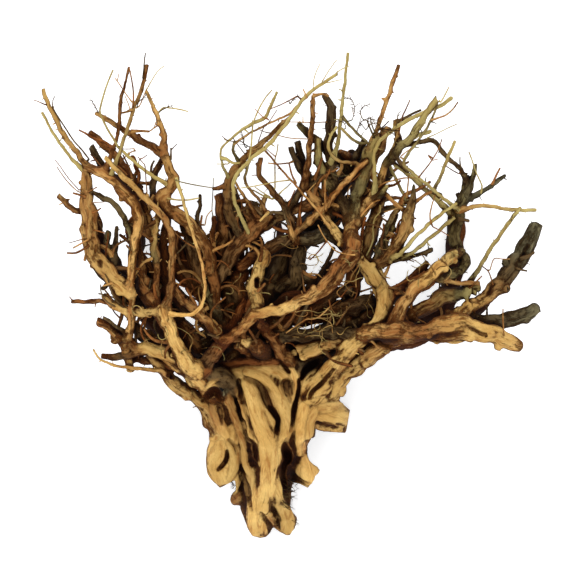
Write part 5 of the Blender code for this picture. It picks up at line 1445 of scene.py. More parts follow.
class Stems:
    """Swept thin stems that are collected into one mesh."""

    def __init__(self, random):
        self.random = random
        self.points, self.faces = [], []
        self.values = {"tone": [], "patch": [], "grain": [], "worn": [], "hollow_shade": [], "cover_and_shade": []}
        self.count = 0
        self.number = 0

    def radii(self, samples, along, sides, roughness, flare):
        """Slightly uneven radii of a stem, for each ring and side; the base is flared."""
        rings = len(samples)
        uneven = 1.0 + self.random.normal(0.0, roughness, (rings, 1))
        uneven = uneven + self.random.normal(0.0, 0.5 * roughness, (rings, sides))
        from_base = along[-1] - along
        radius = samples[:, 3:4] * uneven
        radius *= 1.0 + flare * np.exp(-(from_base / (FLARE_REACH * samples[-1, 3]))[:, None])
        return radius

    def sweep(self, samples, tones, sides, roughness=STEM_ROUGHNESS, flare=0.0):
        """Sweep a section along samples (x, y, z, radius), from the free end to the base."""
        self.number += 1
        along = lengths_along(samples)
        ahead, side, up = frames_along(samples)
        angle = np.arange(sides) * math.tau / sides
        radius = self.radii(samples, along, sides, roughness, flare)
        cos, sin = radius * np.cos(angle), radius * np.sin(angle)
        ring = samples[:, None, :3] + cos[..., None] * side[:, None] + sin[..., None] * up[:, None]
        tip = samples[:1, :3] - TIP_REACH * samples[0, 3] * ahead[:1]
        points = np.vstack((ring.reshape(-1, 3), tip, samples[-1:, :3]))
        self.points.append(points)
        self.faces.append(tube_faces(len(samples), sides) + self.count)
        self.count += len(points)
        rise = np.cos(angle) * side[:, 2:] + np.sin(angle) * up[:, 2:]
        self.colour(tones, along, sides, (cos.ravel(), sin.ravel()), rise.ravel())

    def colour(self, tones, along, sides, offsets, rise):
        """Values of a stem's points: the rings', then those of the middles of its two caps."""
        share = np.concatenate((np.repeat(along / along[-1], sides), (0.0, 1.0)))
        values = tone_values(tones, share)
        values[:, :6] *= 1.0 + self.random.normal(0.0, SHADE_SPREAD)
        grain = np.zeros((len(share), 3))
        grain[:-2, 0], grain[:-2, 1] = offsets
        grain[:, 0] += self.number * GRAIN_SHIFT
        grain[:, 2] = share * along[-1]
        cover_and_shade = bark_cover(values[:, 6], np.append(rise, (0.0, 0.0)), 1.0, 0.0) - STEM_BARE
        stem = {"tone": values[:, :3], "patch": values[:, 3:6], "grain": grain, "worn": values[:, 6],
            "hollow_shade": np.zeros(len(share)), "cover_and_shade": cover_and_shade}
        for title, value in stem.items():
            self.values[title].append(value)

    def piece(self, name):
        """Everything swept so far, as one piece."""
        values = {title: np.concatenate(parts) for title, parts in self.values.items()}
        return new_mesh(name, np.vstack(self.points), np.vstack(self.faces), values)


class Canopy:
    """Height of the highest wood at each spot of the sheet, as the eye point sees it."""

    def __init__(self):
        self.top = np.full((int(SHEET_WIDTH), int(SHEET_WIDTH)), -1.0)

    def add(self, samples):
        """Lay a root into the map."""
        across, down = on_sheet(samples)
        for x, y, (_, _, z, radius) in zip(across, down, samples):
            reach = int(radius) + 1
            i, j = int(x), int(y)
            rows = np.arange(max(j - reach, 0), min(j + reach + 1, len(self.top)))
            columns = np.arange(max(i - reach, 0), min(i + reach + 1, len(self.top)))
            if not len(rows) or not len(columns):
                continue
            square = radius ** 2 - (columns[None] - x) ** 2 - (rows[:, None] - y) ** 2
            height = np.where(square > 0, z + np.sqrt(np.maximum(square, 0)), -1.0)
            part = self.top[rows[0]:rows[-1] + 1, columns[0]:columns[-1] + 1]
            np.maximum(part, height, out=part)

    def height(self, across, down, reach=1):
        """Highest wood around a spot, or -1 where there is none."""
        i, j = int(round(across)), int(round(down))
        part = self.top[max(j - reach, 0):j + reach + 1, max(i - reach, 0):i + reach + 1]
        return part.max() if part.size else -1.0


class Footing:
    """Samples of the wood that fine growth can stand on."""

    def __init__(self, samples):
        self.samples = samples

    def rooted(self, growth):
        """The growth with its base sunk into the nearest wood, or None where no wood is near."""
        base = growth[-1]
        offsets = base[:3] - self.samples[:, :3]
        distances = np.linalg.norm(offsets, axis=1)
        gaps = distances - self.samples[:, 3]
        nearest = gaps.argmin()
        if gaps[nearest] > FOOTING_REACH:
            return None
        if gaps[nearest] > -FOOTING_DEPTH:
            wood = self.samples[nearest]
            sunk = wood[:3] + offsets[nearest] * FOOTING_SEAT * wood[3] / distances[nearest]
            growth = np.vstack((growth, (*sunk, base[3])))
        return growth

    def sweep(self, stems, growth, tones, sides, carries=True, **settings):
        """Root a growth, sweep it and let it carry others; the growth, or None without a footing."""
        growth = self.rooted(growth)
        if growth is None:
            return None
        stems.sweep(growth, tones, sides, **settings)
        if carries:
            self.samples = np.vstack((self.samples, growth))
        return growth


def level_under(canopy, base):
    """Height of the wood at a twig's base, or nearby where there is none at it."""
    for reach in (1, *TWIG_SEARCH):
        level = canopy.height(*base, reach=reach)
        if level > 0.0:
            return level
    return SHEET_HEIGHT


def laid_over(canopy, points, radius):
    """Place a twig on the wood under it: from its base outward it rises a little and clears all."""
    base = points[-1]
    laid = [(*base, level_under(canopy, base) - TWIG_SINK * radius, radius)]
    for (x, y), (last_x, last_y) in zip(points[-2::-1], points[:0:-1]):
        level = laid[-1][2] + TWIG_RISE * math.hypot(x - last_x, y - last_y)
        level = max(level, canopy.height(x, y) + TWIG_CLEARANCE * radius)
        laid.append((x, y, min(level, HIGHEST), radius))
    taper = np.linspace(1.0, TWIG_TIP, len(laid))
    knots = [placed((x, y, z, r * share)) for (x, y, z, r), share in zip(laid, taper)]
    return np.array(knots[::-1])


def clean_material(name):
    """A new node material and its shader."""
    material = bpy.data.materials.new(name)
    material.use_nodes = True
    return material, material.node_tree.nodes["Principled BSDF"]


class Wiring:
    """Short ways to add and link shader nodes."""

    def __init__(self, material):
        self.tree = material.node_tree
        self.nodes = self.tree.nodes

    def add(self, kind, **settings):
        """Add a node; settings are its properties."""
        node = self.nodes.new(kind)
        for key, value in settings.items():
            setattr(node, key, value)
        return node

    def feed(self, socket, source):
        """Link a source, or set a plain value."""
        if isinstance(source, bpy.types.NodeSocket):
            self.tree.links.new(source, socket)
        else:
            socket.default_value = source

    def attribute(self, name, output):
        """Read a value of the mesh."""
        return self.add("ShaderNodeAttribute", attribute_name=name).outputs[output]

    def math(self, operation, first, second, clamp=False):
        """Calculate with two values."""
        node = self.add("ShaderNodeMath", operation=operation, use_clamp=clamp)
        self.feed(node.inputs[0], first)
        self.feed(node.inputs[1], second)
        return node.outputs[0]

    def weighted(self, first, first_weight, second, second_weight):
        """Sum of two values, each times its weight."""
        first = self.math("MULTIPLY", first, first_weight)
        return self.math("ADD", first, self.math("MULTIPLY", second, second_weight))

    def stretch(self, vector, scale):
        """Scale a vector."""
        node = self.add("ShaderNodeMapping")
        self.feed(node.inputs["Vector"], vector)
        node.inputs["Scale"].default_value = scale
        return node.outputs[0]

    def noise(self, vector, scale, detail, rough, distortion):
        """Smooth noise around one half."""
        node = self.add("ShaderNodeTexNoise")
        self.feed(node.inputs["Vector"], vector)
        node.inputs["Scale"].default_value = scale
        node.inputs["Detail"].default_value = detail
        node.inputs["Roughness"].default_value = rough
        node.inputs["Distortion"].default_value = distortion
        return node.outputs["Fac"]

    def fibres(self, grain, drawn_out, *settings):
        """Noise that is drawn out along the grain."""
        return self.noise(self.stretch(grain, (1.0, 1.0, drawn_out)), *settings)

    def ramp(self, value, low, high, start=0.0, end=1.0):
        """Map a value from one range to another, eased and clamped."""
        node = self.add("ShaderNodeMapRange", interpolation_type="SMOOTHSTEP")
        self.feed(node.inputs["Value"], value)
        for title, number in (("From Min", low), ("From Max", high), ("To Min", start), ("To Max", end)):
            self.feed(node.inputs[title], number)
        return node.outputs["Result"]

    def mix(self, factor, first, second, blend="MIX"):
        """Mix two colours."""
        node = self.add("ShaderNodeMix", data_type="RGBA", blend_type=blend)
        for number, source in ((0, factor), (6, first), (7, second)):
            self.feed(node.inputs[number], source)
        return node.outputs[2]

    def tinted(self, colour, tint):
        """A colour multiplied by a tint."""
        return self.mix(1.0, colour, tint, "MULTIPLY")


def bare_wood(wire, grain, place, worn, patch_scale):
    """Colour of bare wood, with the noises that it shares with the relief."""
    noises = {
        "fibre": wire.fibres(grain, *FIBRE_NOISE),
        "fine": wire.fibres(grain, *FINE_NOISE),
        "cloud": wire.noise(place, *CLOUD_NOISE),
    }
    blotch = wire.fibres(grain, BLOTCH_STRETCH, patch_scale, *BLOTCH_NOISE)
    start = wire.math("SUBTRACT", PATCH_START, wire.math("MULTIPLY", worn, PATCH_WEAR))
    low, high = wire.math("SUBTRACT", start, PATCH_EDGE), wire.math("ADD", start, PATCH_EDGE)
    patch = wire.ramp(blotch, low, high)
    tone, stain = wire.attribute("tone", "Color"), wire.attribute("patch", "Color")
    colour = wire.mix(wire.math("MULTIPLY", patch, PATCH_STRENGTH), tone, stain)
    for title, low, high, strength, tint in TINTS:
        factor = wire.ramp(noises[title], low, high, 0.0, strength)
        colour = wire.mix(factor, colour, wire.tinted(colour, tint))
    return colour, noises["fibre"], noises["fine"]


def left_bark(wire, grain, place, cover_and_shade):
    """Colour, mask and noises of the bark that is left, which is ragged at its edges."""
    cloud = wire.noise(place, *BARK_NOISE)
    crumb = wire.fibres(grain, *CRUMB_NOISE)
    flake = wire.fibres(grain, *FLAKE_NOISE)
    spread = wire.weighted(cloud, BARK_CLOUD, crumb, BARK_CRUMB)
    spread = wire.math("ADD", spread, wire.math("MULTIPLY", cover_and_shade, COVER_WEIGHT))
    middle = 0.5 + 0.5 * COVER_WEIGHT
    mask = wire.ramp(spread, middle - BARK_EDGE, middle + BARK_EDGE)
    body = wire.mix(0.5, wire.attribute("tone", "Color"), wire.attribute("patch", "Color"))
    light, dark = wire.tinted(body, BARK_LIGHT), wire.tinted(body, BARK_DARK)
    return wire.mix(wire.ramp(flake, *BARK_FLAKES), light, dark), mask, crumb, flake


def wood_relief(wire, fibre, fine, crumb, flake, mask):
    """Height of the wood's fine relief: fibres, crumbly bark, and the bark's own thickness."""
    smooth = wire.weighted(fibre, FIBRE_RELIEF, fine, FINE_RELIEF)
    rough = wire.weighted(crumb, CRUMB_RELIEF, flake, FLAKE_RELIEF)
    on_bark = wire.math("MULTIPLY", rough, wire.ramp(mask, 0.0, 1.0, BARE_RELIEF, 1.0))
    relief = wire.math("ADD", smooth, on_bark)
    return wire.math("ADD", relief, wire.math("MULTIPLY", mask, BARK_THICKNESS))


def wood_material(name, grain_depth, patch_scale):
    """Root wood: bare fibrous wood under ragged bark, with dark specks and painted shade in hollows."""
    material, shader = clean_material(name)
    wire = Wiring(material)
    grain = wire.attribute("grain", "Vector")
    to_millimetres = (1.0 / MILLIMETRE,) * 3
    place = wire.stretch(wire.add("ShaderNodeTexCoord").outputs["Object"], to_millimetres)
    bare, fibre, fine = bare_wood(wire, grain, place, wire.attribute("worn", "Fac"), patch_scale)
    bark, mask, crumb, flake = left_bark(wire, grain, place, wire.attribute("cover_and_shade", "Fac"))
    colour = wire.mix(mask, bare, bark)
    # One dark colour for the specks and for the shade painted into hollows and crevices.
    speck_and_shade = wire.tinted(colour, SPECK_AND_SHADE_COLOUR)
    colour = wire.mix(wire.ramp(flake, *DARK_SPECK_FLAKES), colour, speck_and_shade)
    # How strongly the shade of hollows and crevices is painted in.
    hollow_shade = wire.math("MULTIPLY", wire.attribute("hollow_shade", "Fac"), HOLLOW_SHADE_STRENGTH, clamp=True)
    wire.feed(shader.inputs["Base Color"], wire.mix(hollow_shade, colour, speck_and_shade))
    bump = wire.add("ShaderNodeBump")
    bump.inputs["Strength"].default_value = 1.0
    bump.inputs["Distance"].default_value = grain_depth
    wire.feed(bump.inputs["Height"], wood_relief(wire, fibre, fine, crumb, flake, mask))
    wire.feed(shader.inputs["Normal"], bump.outputs["Normal"])
    wire.feed(shader.inputs["Roughness"], wire.ramp(mask, 0.0, 1.0, BARE_ROUGHNESS, BARK_ROUGHNESS))
    shader.inputs["Specular IOR Level"].default_value = SPECULAR
    return material


def is_thin(samples):
    """Whether a root is a thin stem, which is swept and not fused."""
    return samples[:, 3].mean() < THIN_RADIUS


def cut_direction(samples, random):
    """Outward direction of a root's flat end, slightly askew."""
    ahead = samples[0, :3] - samples[2, :3]
    ahead = ahead / np.linalg.norm(ahead) + random.normal(0.0, CUT_SKEW, 3)
    return ahead / np.linalg.norm(ahead)


def surface_heights(canopy_of_trunk, points):
    """Turn points (across, down, how proud, radius) into knots that stand that proud of the trunk."""
    knots = []
    for across, down, proud, radius in points:
        top = canopy_of_trunk.height(across, down)
        knots.append(placed((across, down, top + proud - radius, radius)))
    return np.array(knots)


def build_wood(random):
    """Grow all roots: the thick and the thin ones, the trunk's strands, their tones and canopy."""
    grown = grow(ROOTS)
    grown.update(grow(LATE_ROOTS, np.vstack(list(grown.values()))))
    tones = {name: tone for name, (tone, _) in {**ROOTS, **LATE_ROOTS}.items()}
    canopy = Canopy()
    trunk = Canopy()
    for name, samples in grown.items():
        canopy.add(samples)
        if name in TRUNK:
            trunk.add(samples)
    for number in range(ROOTLETS):
        tones[f"rootlet {number}"] = str(random.choice(ROOTLET_TONES))
    rootlets = grow_rootlets(grown, canopy, random)
    grown = {name: gnarled(samples, random) for name, samples in grown.items()}
    grown.update(rootlets)
    thick = {name: samples for name, samples in grown.items() if not is_thin(samples)}
    thin = {name: samples for name, samples in grown.items() if is_thin(samples)}
    strands = {}
    for name, (tone, points) in STRANDS.items():
        strands[name] = curve_through(surface_heights(trunk, points))
        tones[name] = tone
        canopy.add(strands[name])
    return thick, thin, strands, tones, canopy


def gnarled(samples, random):
    """The same root with small bends and changes of girth; its ends stay in place."""
    samples = curve_through(samples, GNARL_STEP)
    lengths = lengths_along(samples)
    total = lengths[-1]
    _, side, up = frames_along(samples)
    mean = samples[:, 3].mean()
    share = THIN_STRAY if is_thin(samples) else GNARL_STRAY
    stray = np.minimum(GNARL_LEAST + share * samples[:, 3], MOST_STRAY)
    ends = GNARL_FADE * total
    stray *= smoothstep(lengths / ends) * smoothstep((total - lengths) / ends)
    waves = np.zeros((3, len(samples)))
    for wavelength in GNARL_WAVES:
        stretch = wavelength * (1.0 + mean / GNARL_THICK)
        for wave in waves:
            phase = random.uniform(0.0, math.tau)
            wave += np.sin(math.tau * lengths / stretch + phase) / len(GNARL_WAVES)
    sideways, upward, girth = waves
    bent = samples.copy()
    bent[:, :3] += (stray * sideways)[:, None] * side + (stray * upward)[:, None] * up
    bent[:, 3] *= 1.0 + GNARL_GIRTH * girth
    return bent


def grow_rootlets(grown, canopy, random):
    """Small roots that branch off the others inside the crown, below its highest roots."""
    left, top, right, bottom = ROOTLET_AREA
    places = np.vstack([samples for samples in grown.values() if len(samples) > 2])
    across, down = on_sheet(places)
    fit = (across > left) & (across < right) & (down > top) & (down < bottom)
    fit &= (places[:, 2] < ROOTLET_HIGHEST) & (places[:, 2] > ROOTLET_LOWEST)
    fit &= places[:, 3] > ROOTLET_CARRIER
    places, across, down = places[fit], across[fit], down[fit]
    rootlets = {}
    for number in range(ROOTLETS):
        k = random.integers(len(places))
        heading = math.atan2(ROOTLET_SOURCE[1] - down[k], across[k] - ROOTLET_SOURCE[0])
        heading += random.normal(0.0, ROOTLET_FAN)
        length = random.uniform(*ROOTLET_LENGTH)
        radius = random.uniform(*ROOTLET_RADIUS)
        path = wiggle(random, (across[k], down[k]), heading, length, ROOTLET_BEND, ROOTLET_STEP)
        slope = random.normal(*ROOTLET_SLOPE)
        knots = []
        for step, (x, y) in enumerate(path):
            level = min(places[k, 2] + slope * ROOTLET_STEP * step, ROOTLET_HIGHEST)
            thickness = radius * (1.0 - ROOTLET_TAPER * step / len(path))
            knots.append(placed((x, y, max(level, ROOTLET_LOWEST), thickness)))
        outer_half = path[len(path) // 2:]
        if all(canopy.height(*spot, reach=ROOTLET_REACH) > 0.0 for spot in outer_half):
            rootlets[f"rootlet {number}"] = curve_through(np.array(knots[::-1]), GNARL_STEP)
    return rootlets


def spurs_on(samples, random):
    """Knots of the broken spurs on one root, each from its tip to its base."""
    ahead, _, _ = frames_along(samples)
    lengths = lengths_along(samples)
    for place in np.arange(0.5 * SPUR_SPACING, lengths[-1] - 0.5 * SPUR_SPACING, SPUR_SPACING):
        k = int(np.searchsorted(lengths, place + random.uniform(-SPUR_STRAY, SPUR_STRAY) * SPUR_SPACING))
        k = min(max(k, 1), len(samples) - 2)
        flat = np.cross(ahead[k], (0.0, 0.0, 1.0)) * random.choice((-1.0, 1.0))
        out = flat + random.normal(0.0, SPUR_SCATTER, 3) - SPUR_LEAN * ahead[k]
        out /= np.linalg.norm(out)
        reach = SPUR_REACH[0] + (SPUR_REACH[1] - SPUR_REACH[0]) * random.uniform() ** 2
        radius = random.uniform(*SPUR_RADIUS)
        start = samples[k, :3] + out * SPUR_SEAT * samples[k, 3]
        end = samples[k, :3] + out * (samples[k, 3] + reach)
        middle = 0.5 * (start + end) + random.normal(0.0, SPUR_BEND, 3)
        points = (end, middle, start)
        yield np.array([(*point, radius * share) for point, share in zip(points, SPUR_TAPER)])


def grow_spurs(roots, tones, footing, random):
    """Short broken spurs that stand out sideways from the roots."""
    spurs = Stems(random)
    for name, samples in roots.items():
        if name in TRUNK or name.startswith("back") or samples[:, 3].mean() > SPUR_THICKEST:
            continue
        for knots in spurs_on(samples, random):
            gap = np.linalg.norm(footing.samples[:, :3] - knots[-1, :3], axis=1) - footing.samples[:, 3]
            if gap.min() < 0.0:
                spurs.sweep(knots, tones[name].split()[0], SPUR_SIDES)
    return spurs


def fuse(thick, strands, canopy, random):
    """The grid of distances of the fused wood, and the tubes that cut its hollows."""
    grid = WoodGrid(GRID_LOW, GRID_HIGH)
    for name, samples in thick.items():
        fat = samples.copy()
        fat[:, 3] = np.maximum(fat[:, 3], LEAST_RADIUS)
        cut = None if name in ROUND_ENDS else cut_direction(fat, random)
        grid.add(fat, cut)
        if name not in TRUNK:
            for knot in knots_on(samples, random):
                grid.add(knot, cut_direction(knot, random))
    for samples in strands.values():
        grid.add(samples, crossing=STRAND_BLEND)
    grid.keep_inside(TRUNK_OUTLINE, TRUNK_WINDOW)
    cutters = []
    for darkness, points in HOLLOWS.values():
        for samples in slit(canopy, points):
            grid.cut(samples)
            cutters.append((darkness, samples))
    grid.wear_flat()
    return grid, cutters


def knots_on(samples, random):
    """Stubs of lost side roots that stand out a little from a root."""
    thinnest, thickest = KNOT_BEARERS
    if not thinnest < samples[:, 3].mean() < thickest:
        return
    ahead, side, up = frames_along(samples)
    lengths = lengths_along(samples)
    place = random.uniform(*KNOT_FIRST) * KNOT_SPACING
    while place < lengths[-1] - KNOT_LAST * KNOT_SPACING:
        k = int(np.searchsorted(lengths, place))
        angle = random.uniform(0.0, math.tau)
        out = math.cos(angle) * side[k] + math.sin(angle) * up[k]
        out -= random.uniform(*KNOT_LEAN) * ahead[k]
        out /= np.linalg.norm(out)
        radius = samples[k, 3]
        thick = radius * random.uniform(*KNOT_SHARE)
        reach = radius + random.uniform(*KNOT_REACH)
        shares = np.linspace(1.0, KNOT_ROOT, KNOT_POINTS)[:, None]
        widths = thick * np.linspace(*KNOT_FLARE, KNOT_POINTS)[:, None]
        yield np.hstack((samples[k, :3] + out * reach * shares, widths))
        place += random.uniform(*KNOT_STRIDE) * KNOT_SPACING


def slit(canopy, points):
    """Tubes one under another that cut a hollow straight down from the visible wood."""
    tops = [canopy.height(across, down) for across, down, _, _ in points]
    deepest = max(depth for _, _, depth, _ in points)
    narrowest = min(width for _, _, _, width in points)
    levels = max(2, math.ceil(deepest / narrowest))
    for share in np.linspace(0.0, 1.0, levels):
        knots = []
        for (across, down, depth, width), top in zip(points, tops):
            centre = top + width - share * (depth + 0.5 * width)
            narrow = width * (1.0 - SLIT_NARROWING * share)
            knots.append(placed((across, down, centre, narrow)))
        yield curve_through(np.array(knots), FINE_STEP)


def skylight(grid):
    """Light that falls through the crown to each cell, from above, on a grid as large as the wood's."""
    light = np.ones(grid.count[:2], np.float32)
    reached = np.ones(grid.count, np.float32)
    for level in range(grid.count[2] - 1, -1, -1):
        light = np.where(grid.depth[:, :, level] > 0.0, light, np.float32(0.0))
        spread = light.copy()
        spread[1:-1] += light[2:] + light[:-2]
        spread[:, 1:-1] += light[:, 2:] + light[:, :-2]
        spread[1:-1, 1:-1] /= CELLS_IN_CROSS
        spread[0], spread[-1], spread[:, 0], spread[:, -1] = 1.0, 1.0, 1.0, 1.0
        light = spread
        reached[:, :, level] = light
    return reached


def sampled(values, grid, points):
    """Values of the grid in the cells nearest to points."""
    cells = np.clip(((points - grid.low) / VOXEL).round().astype(int), 0, grid.count - 1)
    return values[cells[:, 0], cells[:, 1], cells[:, 2]]


def marked_skin(points, roots, tones, random):
    """The skin's values by root, and the roots' names in the order of their numbers."""
    skin = Skin(points)
    for number, (name, samples) in enumerate(roots.items()):
        pattern = RootPattern(random, samples[:, 3].mean())
        skin.mark(number, samples, tones[name], pattern)
    skin.finish()
    return skin, list(roots)


def swollen(points, normals, skin, shade_marks, links):
    """The skin's points moved out and in by the roots' folds, but not in hollows or on cut faces."""
    free = smoothstep(1.0 + skin.nearest / CUT_FADE) * (1.0 - np.minimum(shade_marks, 1.0))
    swelling = np.clip(skin.swelling, -MOST_SWELLING, MOST_SWELLING)
    rise = averaged(swelling * free, links, rounds=1)
    moved = points + normals * rise[:, None]
    moved[:, 2] = np.maximum(moved[:, 2], 0.0)
    return moved


def shaded_values(skin, normals, shade_marks, dip, sky, of_trunk):
    """Values that the material reads: tones with painted shade under the crown and on flanks, painted
    shade in hollows, and bark that partly serves as painted shade.
    """
    open_share = smoothstep((sky - SKY_DARK) / (SKY_BRIGHT - SKY_DARK))
    # Painted shade in crevices and in the cut hollows.
    crevice_shade = smoothstep(dip / CREVICE_DEPTH) * np.where(of_trunk, TRUNK_CREVICE_SHADE, CREVICE_SHADE)
    hollow_shade = np.clip(np.maximum(shade_marks, crevice_shade), 0.0, 1.0)
    flank = flank_share(normals[:, 2]) * np.where(of_trunk, TRUNK_FLANK_SHADE, 1.0)
    # Painted shade: colours are darkened where little light falls through the crown, and on flanks.
    shade = toward(PAINTED_CROWN_SHADE, open_share) * toward(FLANK_SHADE, 1.0 - flank)
    worn = skin.tone[:, 6]
    return {
        "tone": skin.tone[:, :3] * shade,
        "patch": skin.tone[:, 3:6] * shade,
        "grain": skin.grain,
        "worn": worn,
        "hollow_shade": hollow_shade,
        "cover_and_shade": bark_cover(worn, normals[:, 2], open_share, hollow_shade) - TRUNK_BARE * of_trunk,
    }


def hollow_marks(points, cutters):
    """How much shade is painted on each point that lies in a cut hollow."""
    shade_marks = np.zeros(len(points))
    for darkness, samples in cutters:
        low, high = samples[:, :3].min(0) - HOLLOW_MARGIN, samples[:, :3].max(0) + HOLLOW_MARGIN
        near = np.nonzero(((points > low) & (points < high)).all(axis=1))[0]
        gap, along, _ = nearest_on_root(points[near], samples, frames_along(samples))
        width = np.interp(along, lengths_along(samples), samples[:, 3]) / samples[:, 3].max()
        mark = darkness * smoothstep(1.0 - gap / HOLLOW_EDGE) * smoothstep(HOLLOW_FADE * width)
        shade_marks[near] = np.maximum(shade_marks[near], mark)
    return shade_marks


def dressed_skin(grid, roots, tones, cutters, random):
    """Points, faces, normals and values of the fused wood's skin, and which root owns each point."""
    points, quads = main_shell(*grid.skin())
    normals = point_normals(points, quads)
    if (normals * (points - points.mean(0))).sum() < 0.0:
        quads = quads[:, ::-1]
        normals = -normals
    skin, owners = marked_skin(points, roots, tones, random)
    links = link_list(quads)
    shade_marks = hollow_marks(points, cutters)
    points = swollen(points, normals, skin, shade_marks, links)
    normals = point_normals(points, quads)
    dip = hollowness(points, normals, links)
    light_above = sampled(skylight(grid), grid, points + SKY_LIFT * VOXEL * normals)
    sky = averaged(light_above, links, SKY_ROUNDS)
    of_trunk = np.array([name in TRUNK or name in STRANDS for name in owners])[skin.owner]
    values = shaded_values(skin, normals, shade_marks, dip, sky, of_trunk)
    return points, quads, normals, values, skin.owner, owners


def toward(shaded, share):
    """Factors for the colours: from shaded at share 0 to plain at share 1."""
    return np.array(shaded) + (1.0 - np.array(shaded)) * share[:, None]


def group_of(name, samples):
    """Which piece of the wood a root belongs to."""
    if name in TRUNK or name in STRANDS:
        return "trunk_wood"
    middle = on_sheet(samples)[0].mean()
    if name.startswith("back") or "core" in name or "prop" in name.split():
        return "under_left_wood" if middle < UNDER_LIMIT else "under_right_wood"
    return next(title for title, limit in CROWN_LIMITS if middle < limit)


def split_wood(points, quads, normals, values, owner, owners, roots):
    """Divide the skin into pieces by root, so that the seams run along creases."""
    groups = np.array([group_of(name, roots[name]) for name in owners])
    face_group = groups[owner[quads[:, 0]]]
    pieces = []
    for title in sorted(set(groups)):
        faces = quads[face_group == title]
        if not len(faces):
            continue
        used, inverse = np.unique(faces, return_inverse=True)
        part = {key: value[used] for key, value in values.items()}
        pieces.append(new_mesh(title, points[used], inverse.reshape(-1, 4), part, normals[used]))
    return pieces


def left_standing(roots, grid):
    """Samples of the fused roots that the cuts have left in the wood."""
    samples = np.vstack(list(roots.values()))
    return samples[sampled(grid.depth, grid, samples[:, :3]) < 0.0]


def build_stems(thin, tones, canopy, footing, random):
    """Thin stems, each a swept tube."""
    stems = Stems(random)
    for name, samples in thin.items():
        finer = curve_through(samples, FINE_STEP)
        growth = footing.sweep(stems, finer, tones[name], STEM_SIDES, flare=STEM_FLARE)
        if growth is not None:
            canopy.add(growth)
    return stems


def build_twigs(canopy, footing, random):
    """Twigs that are laid on the wood, each a swept tube."""
    twigs = Stems(random)
    for tone, thickness, points in TWIGS:
        samples = curve_through(laid_over(canopy, points, thickness / 2), FINE_STEP)
        growth = footing.sweep(twigs, samples, tone, TWIG_SIDES, flare=STEM_FLARE)
        if growth is not None:
            canopy.add(growth)
    return twigs


def wiggle(random, start, heading, length, bend, step=THREAD_STEP):
    """Points across and down of a thread that wanders from a start."""
    x, y = start
    points = [(x, y)]
    turn = random.normal(0.0, bend)
    for _ in range(max(3, int(length / step))):
        turn = TURN_MEMORY * turn + random.normal(0.0, bend)
        heading += turn
        x += step * math.cos(heading)
        y -= step * math.sin(heading)
        points.append((x, y))
    return points


def thread(canopy, points, radius, tip_share, rise):
    """Samples of a thread from its tip to its base, laid on the wood and rising towards its tip."""
    base = max(canopy.height(*points[0], reach=THREAD_REACH), 0.0)
    if base == 0.0:
        base = max(canopy.height(*points[0], reach=reach) for reach in THREAD_SEARCH)
    knots = []
    for k, (x, y) in enumerate(points):
        share = k / (len(points) - 1)
        level = max(base + rise * k, canopy.height(x, y, reach=0) + radius)
        base = max(base, level - rise * k - THREAD_DROP)
        thickness = radius * (1.0 - (1.0 - tip_share) * share)
        knots.append(placed((x, y, min(level, HIGHEST), thickness)))
    knots = np.array(knots[::-1])
    smooth = knots.copy()
    smooth[1:-1, 2] = (knots[:-2, 2] + knots[1:-1, 2] + knots[2:, 2]) / 3.0
    return smooth


class FineGrowth:
    """Sprays of dead twiglets, curly root hairs and tufts, all rooted on the wood."""

    def __init__(self, canopy, footing, random):
        self.canopy = canopy
        self.footing = footing
        self.random = random
        self.hairs = Stems(random)

    def spot_near(self, across, down, reach):
        """A spot of the sheet within a reach of another."""
        return across + self.random.uniform(-reach, reach), down + self.random.uniform(-reach, reach)

    def sweep(self, path, look, tones, carries=False):
        """Lay a thread on the wood, root it and sweep it; its samples, or None without a footing."""
        growth = thread(self.canopy, path, *look)
        return self.footing.sweep(self.hairs, growth, tones, HAIR_SIDES, carries)

    def spray(self, spot, heading, length):
        """A branching spray: an axis with twiglets to both sides."""
        axis = wiggle(self.random, spot, heading, length, SPRAY_BEND)
        growth = self.sweep(axis, SPRAY_THREAD, "olive", carries=True)
        if growth is None:
            return
        self.canopy.add(growth)
        for k in range(FIRST_TWIGLET, len(axis) - 1, TWIGLET_SPACING):
            side = self.random.choice((-1, 1)) * self.random.uniform(*TWIGLET_ANGLE)
            local = math.atan2(axis[k - 1][1] - axis[k][1], axis[k][0] - axis[k - 1][0])
            reach = length * self.random.uniform(*TWIGLET_SHARE) * (1.0 - 0.5 * k / len(axis))
            path = wiggle(self.random, axis[k], local + side, reach, TWIGLET_BEND)
            self.sweep(path, TWIGLET_THREAD, "olive bark")

    def curl(self, spot):
        """A curly root hair in any direction."""
        heading = self.random.uniform(0.0, math.tau)
        path = wiggle(self.random, spot, heading, self.random.uniform(*CURL_LENGTH), CURL_BEND)
        self.sweep(path, (self.random.uniform(*CURL_RADIUS), CURL_TIP, CURL_RISE), "straw tan")

    def hair(self, spot, degrees, longest):
        """A short fine hair of a tuft."""
        heading = math.radians(degrees + self.random.normal(0.0, HAIR_FAN))
        length = self.random.uniform(*HAIR_SHARE) * longest
        self.sweep(wiggle(self.random, spot, heading, length, HAIR_BEND), HAIR_THREAD, "dark olive")


def build_fine_growth(canopy, footing, random):
    """All sprays, curls and tufts, swept into one set of stems."""
    growth = FineGrowth(canopy, footing, random)
    for across, down, degrees, length in SPRAYS:
        growth.spray((across, down), math.radians(degrees), length)
    for across, down, reach, count in CURLS:
        for _ in range(count):
            growth.curl(growth.spot_near(across, down, reach))
    for across, down, reach, degrees, count, longest in HAIR_TUFTS:
        for _ in range(count):
            growth.hair(growth.spot_near(across, down, reach), degrees, longest)
    return growth.hairs


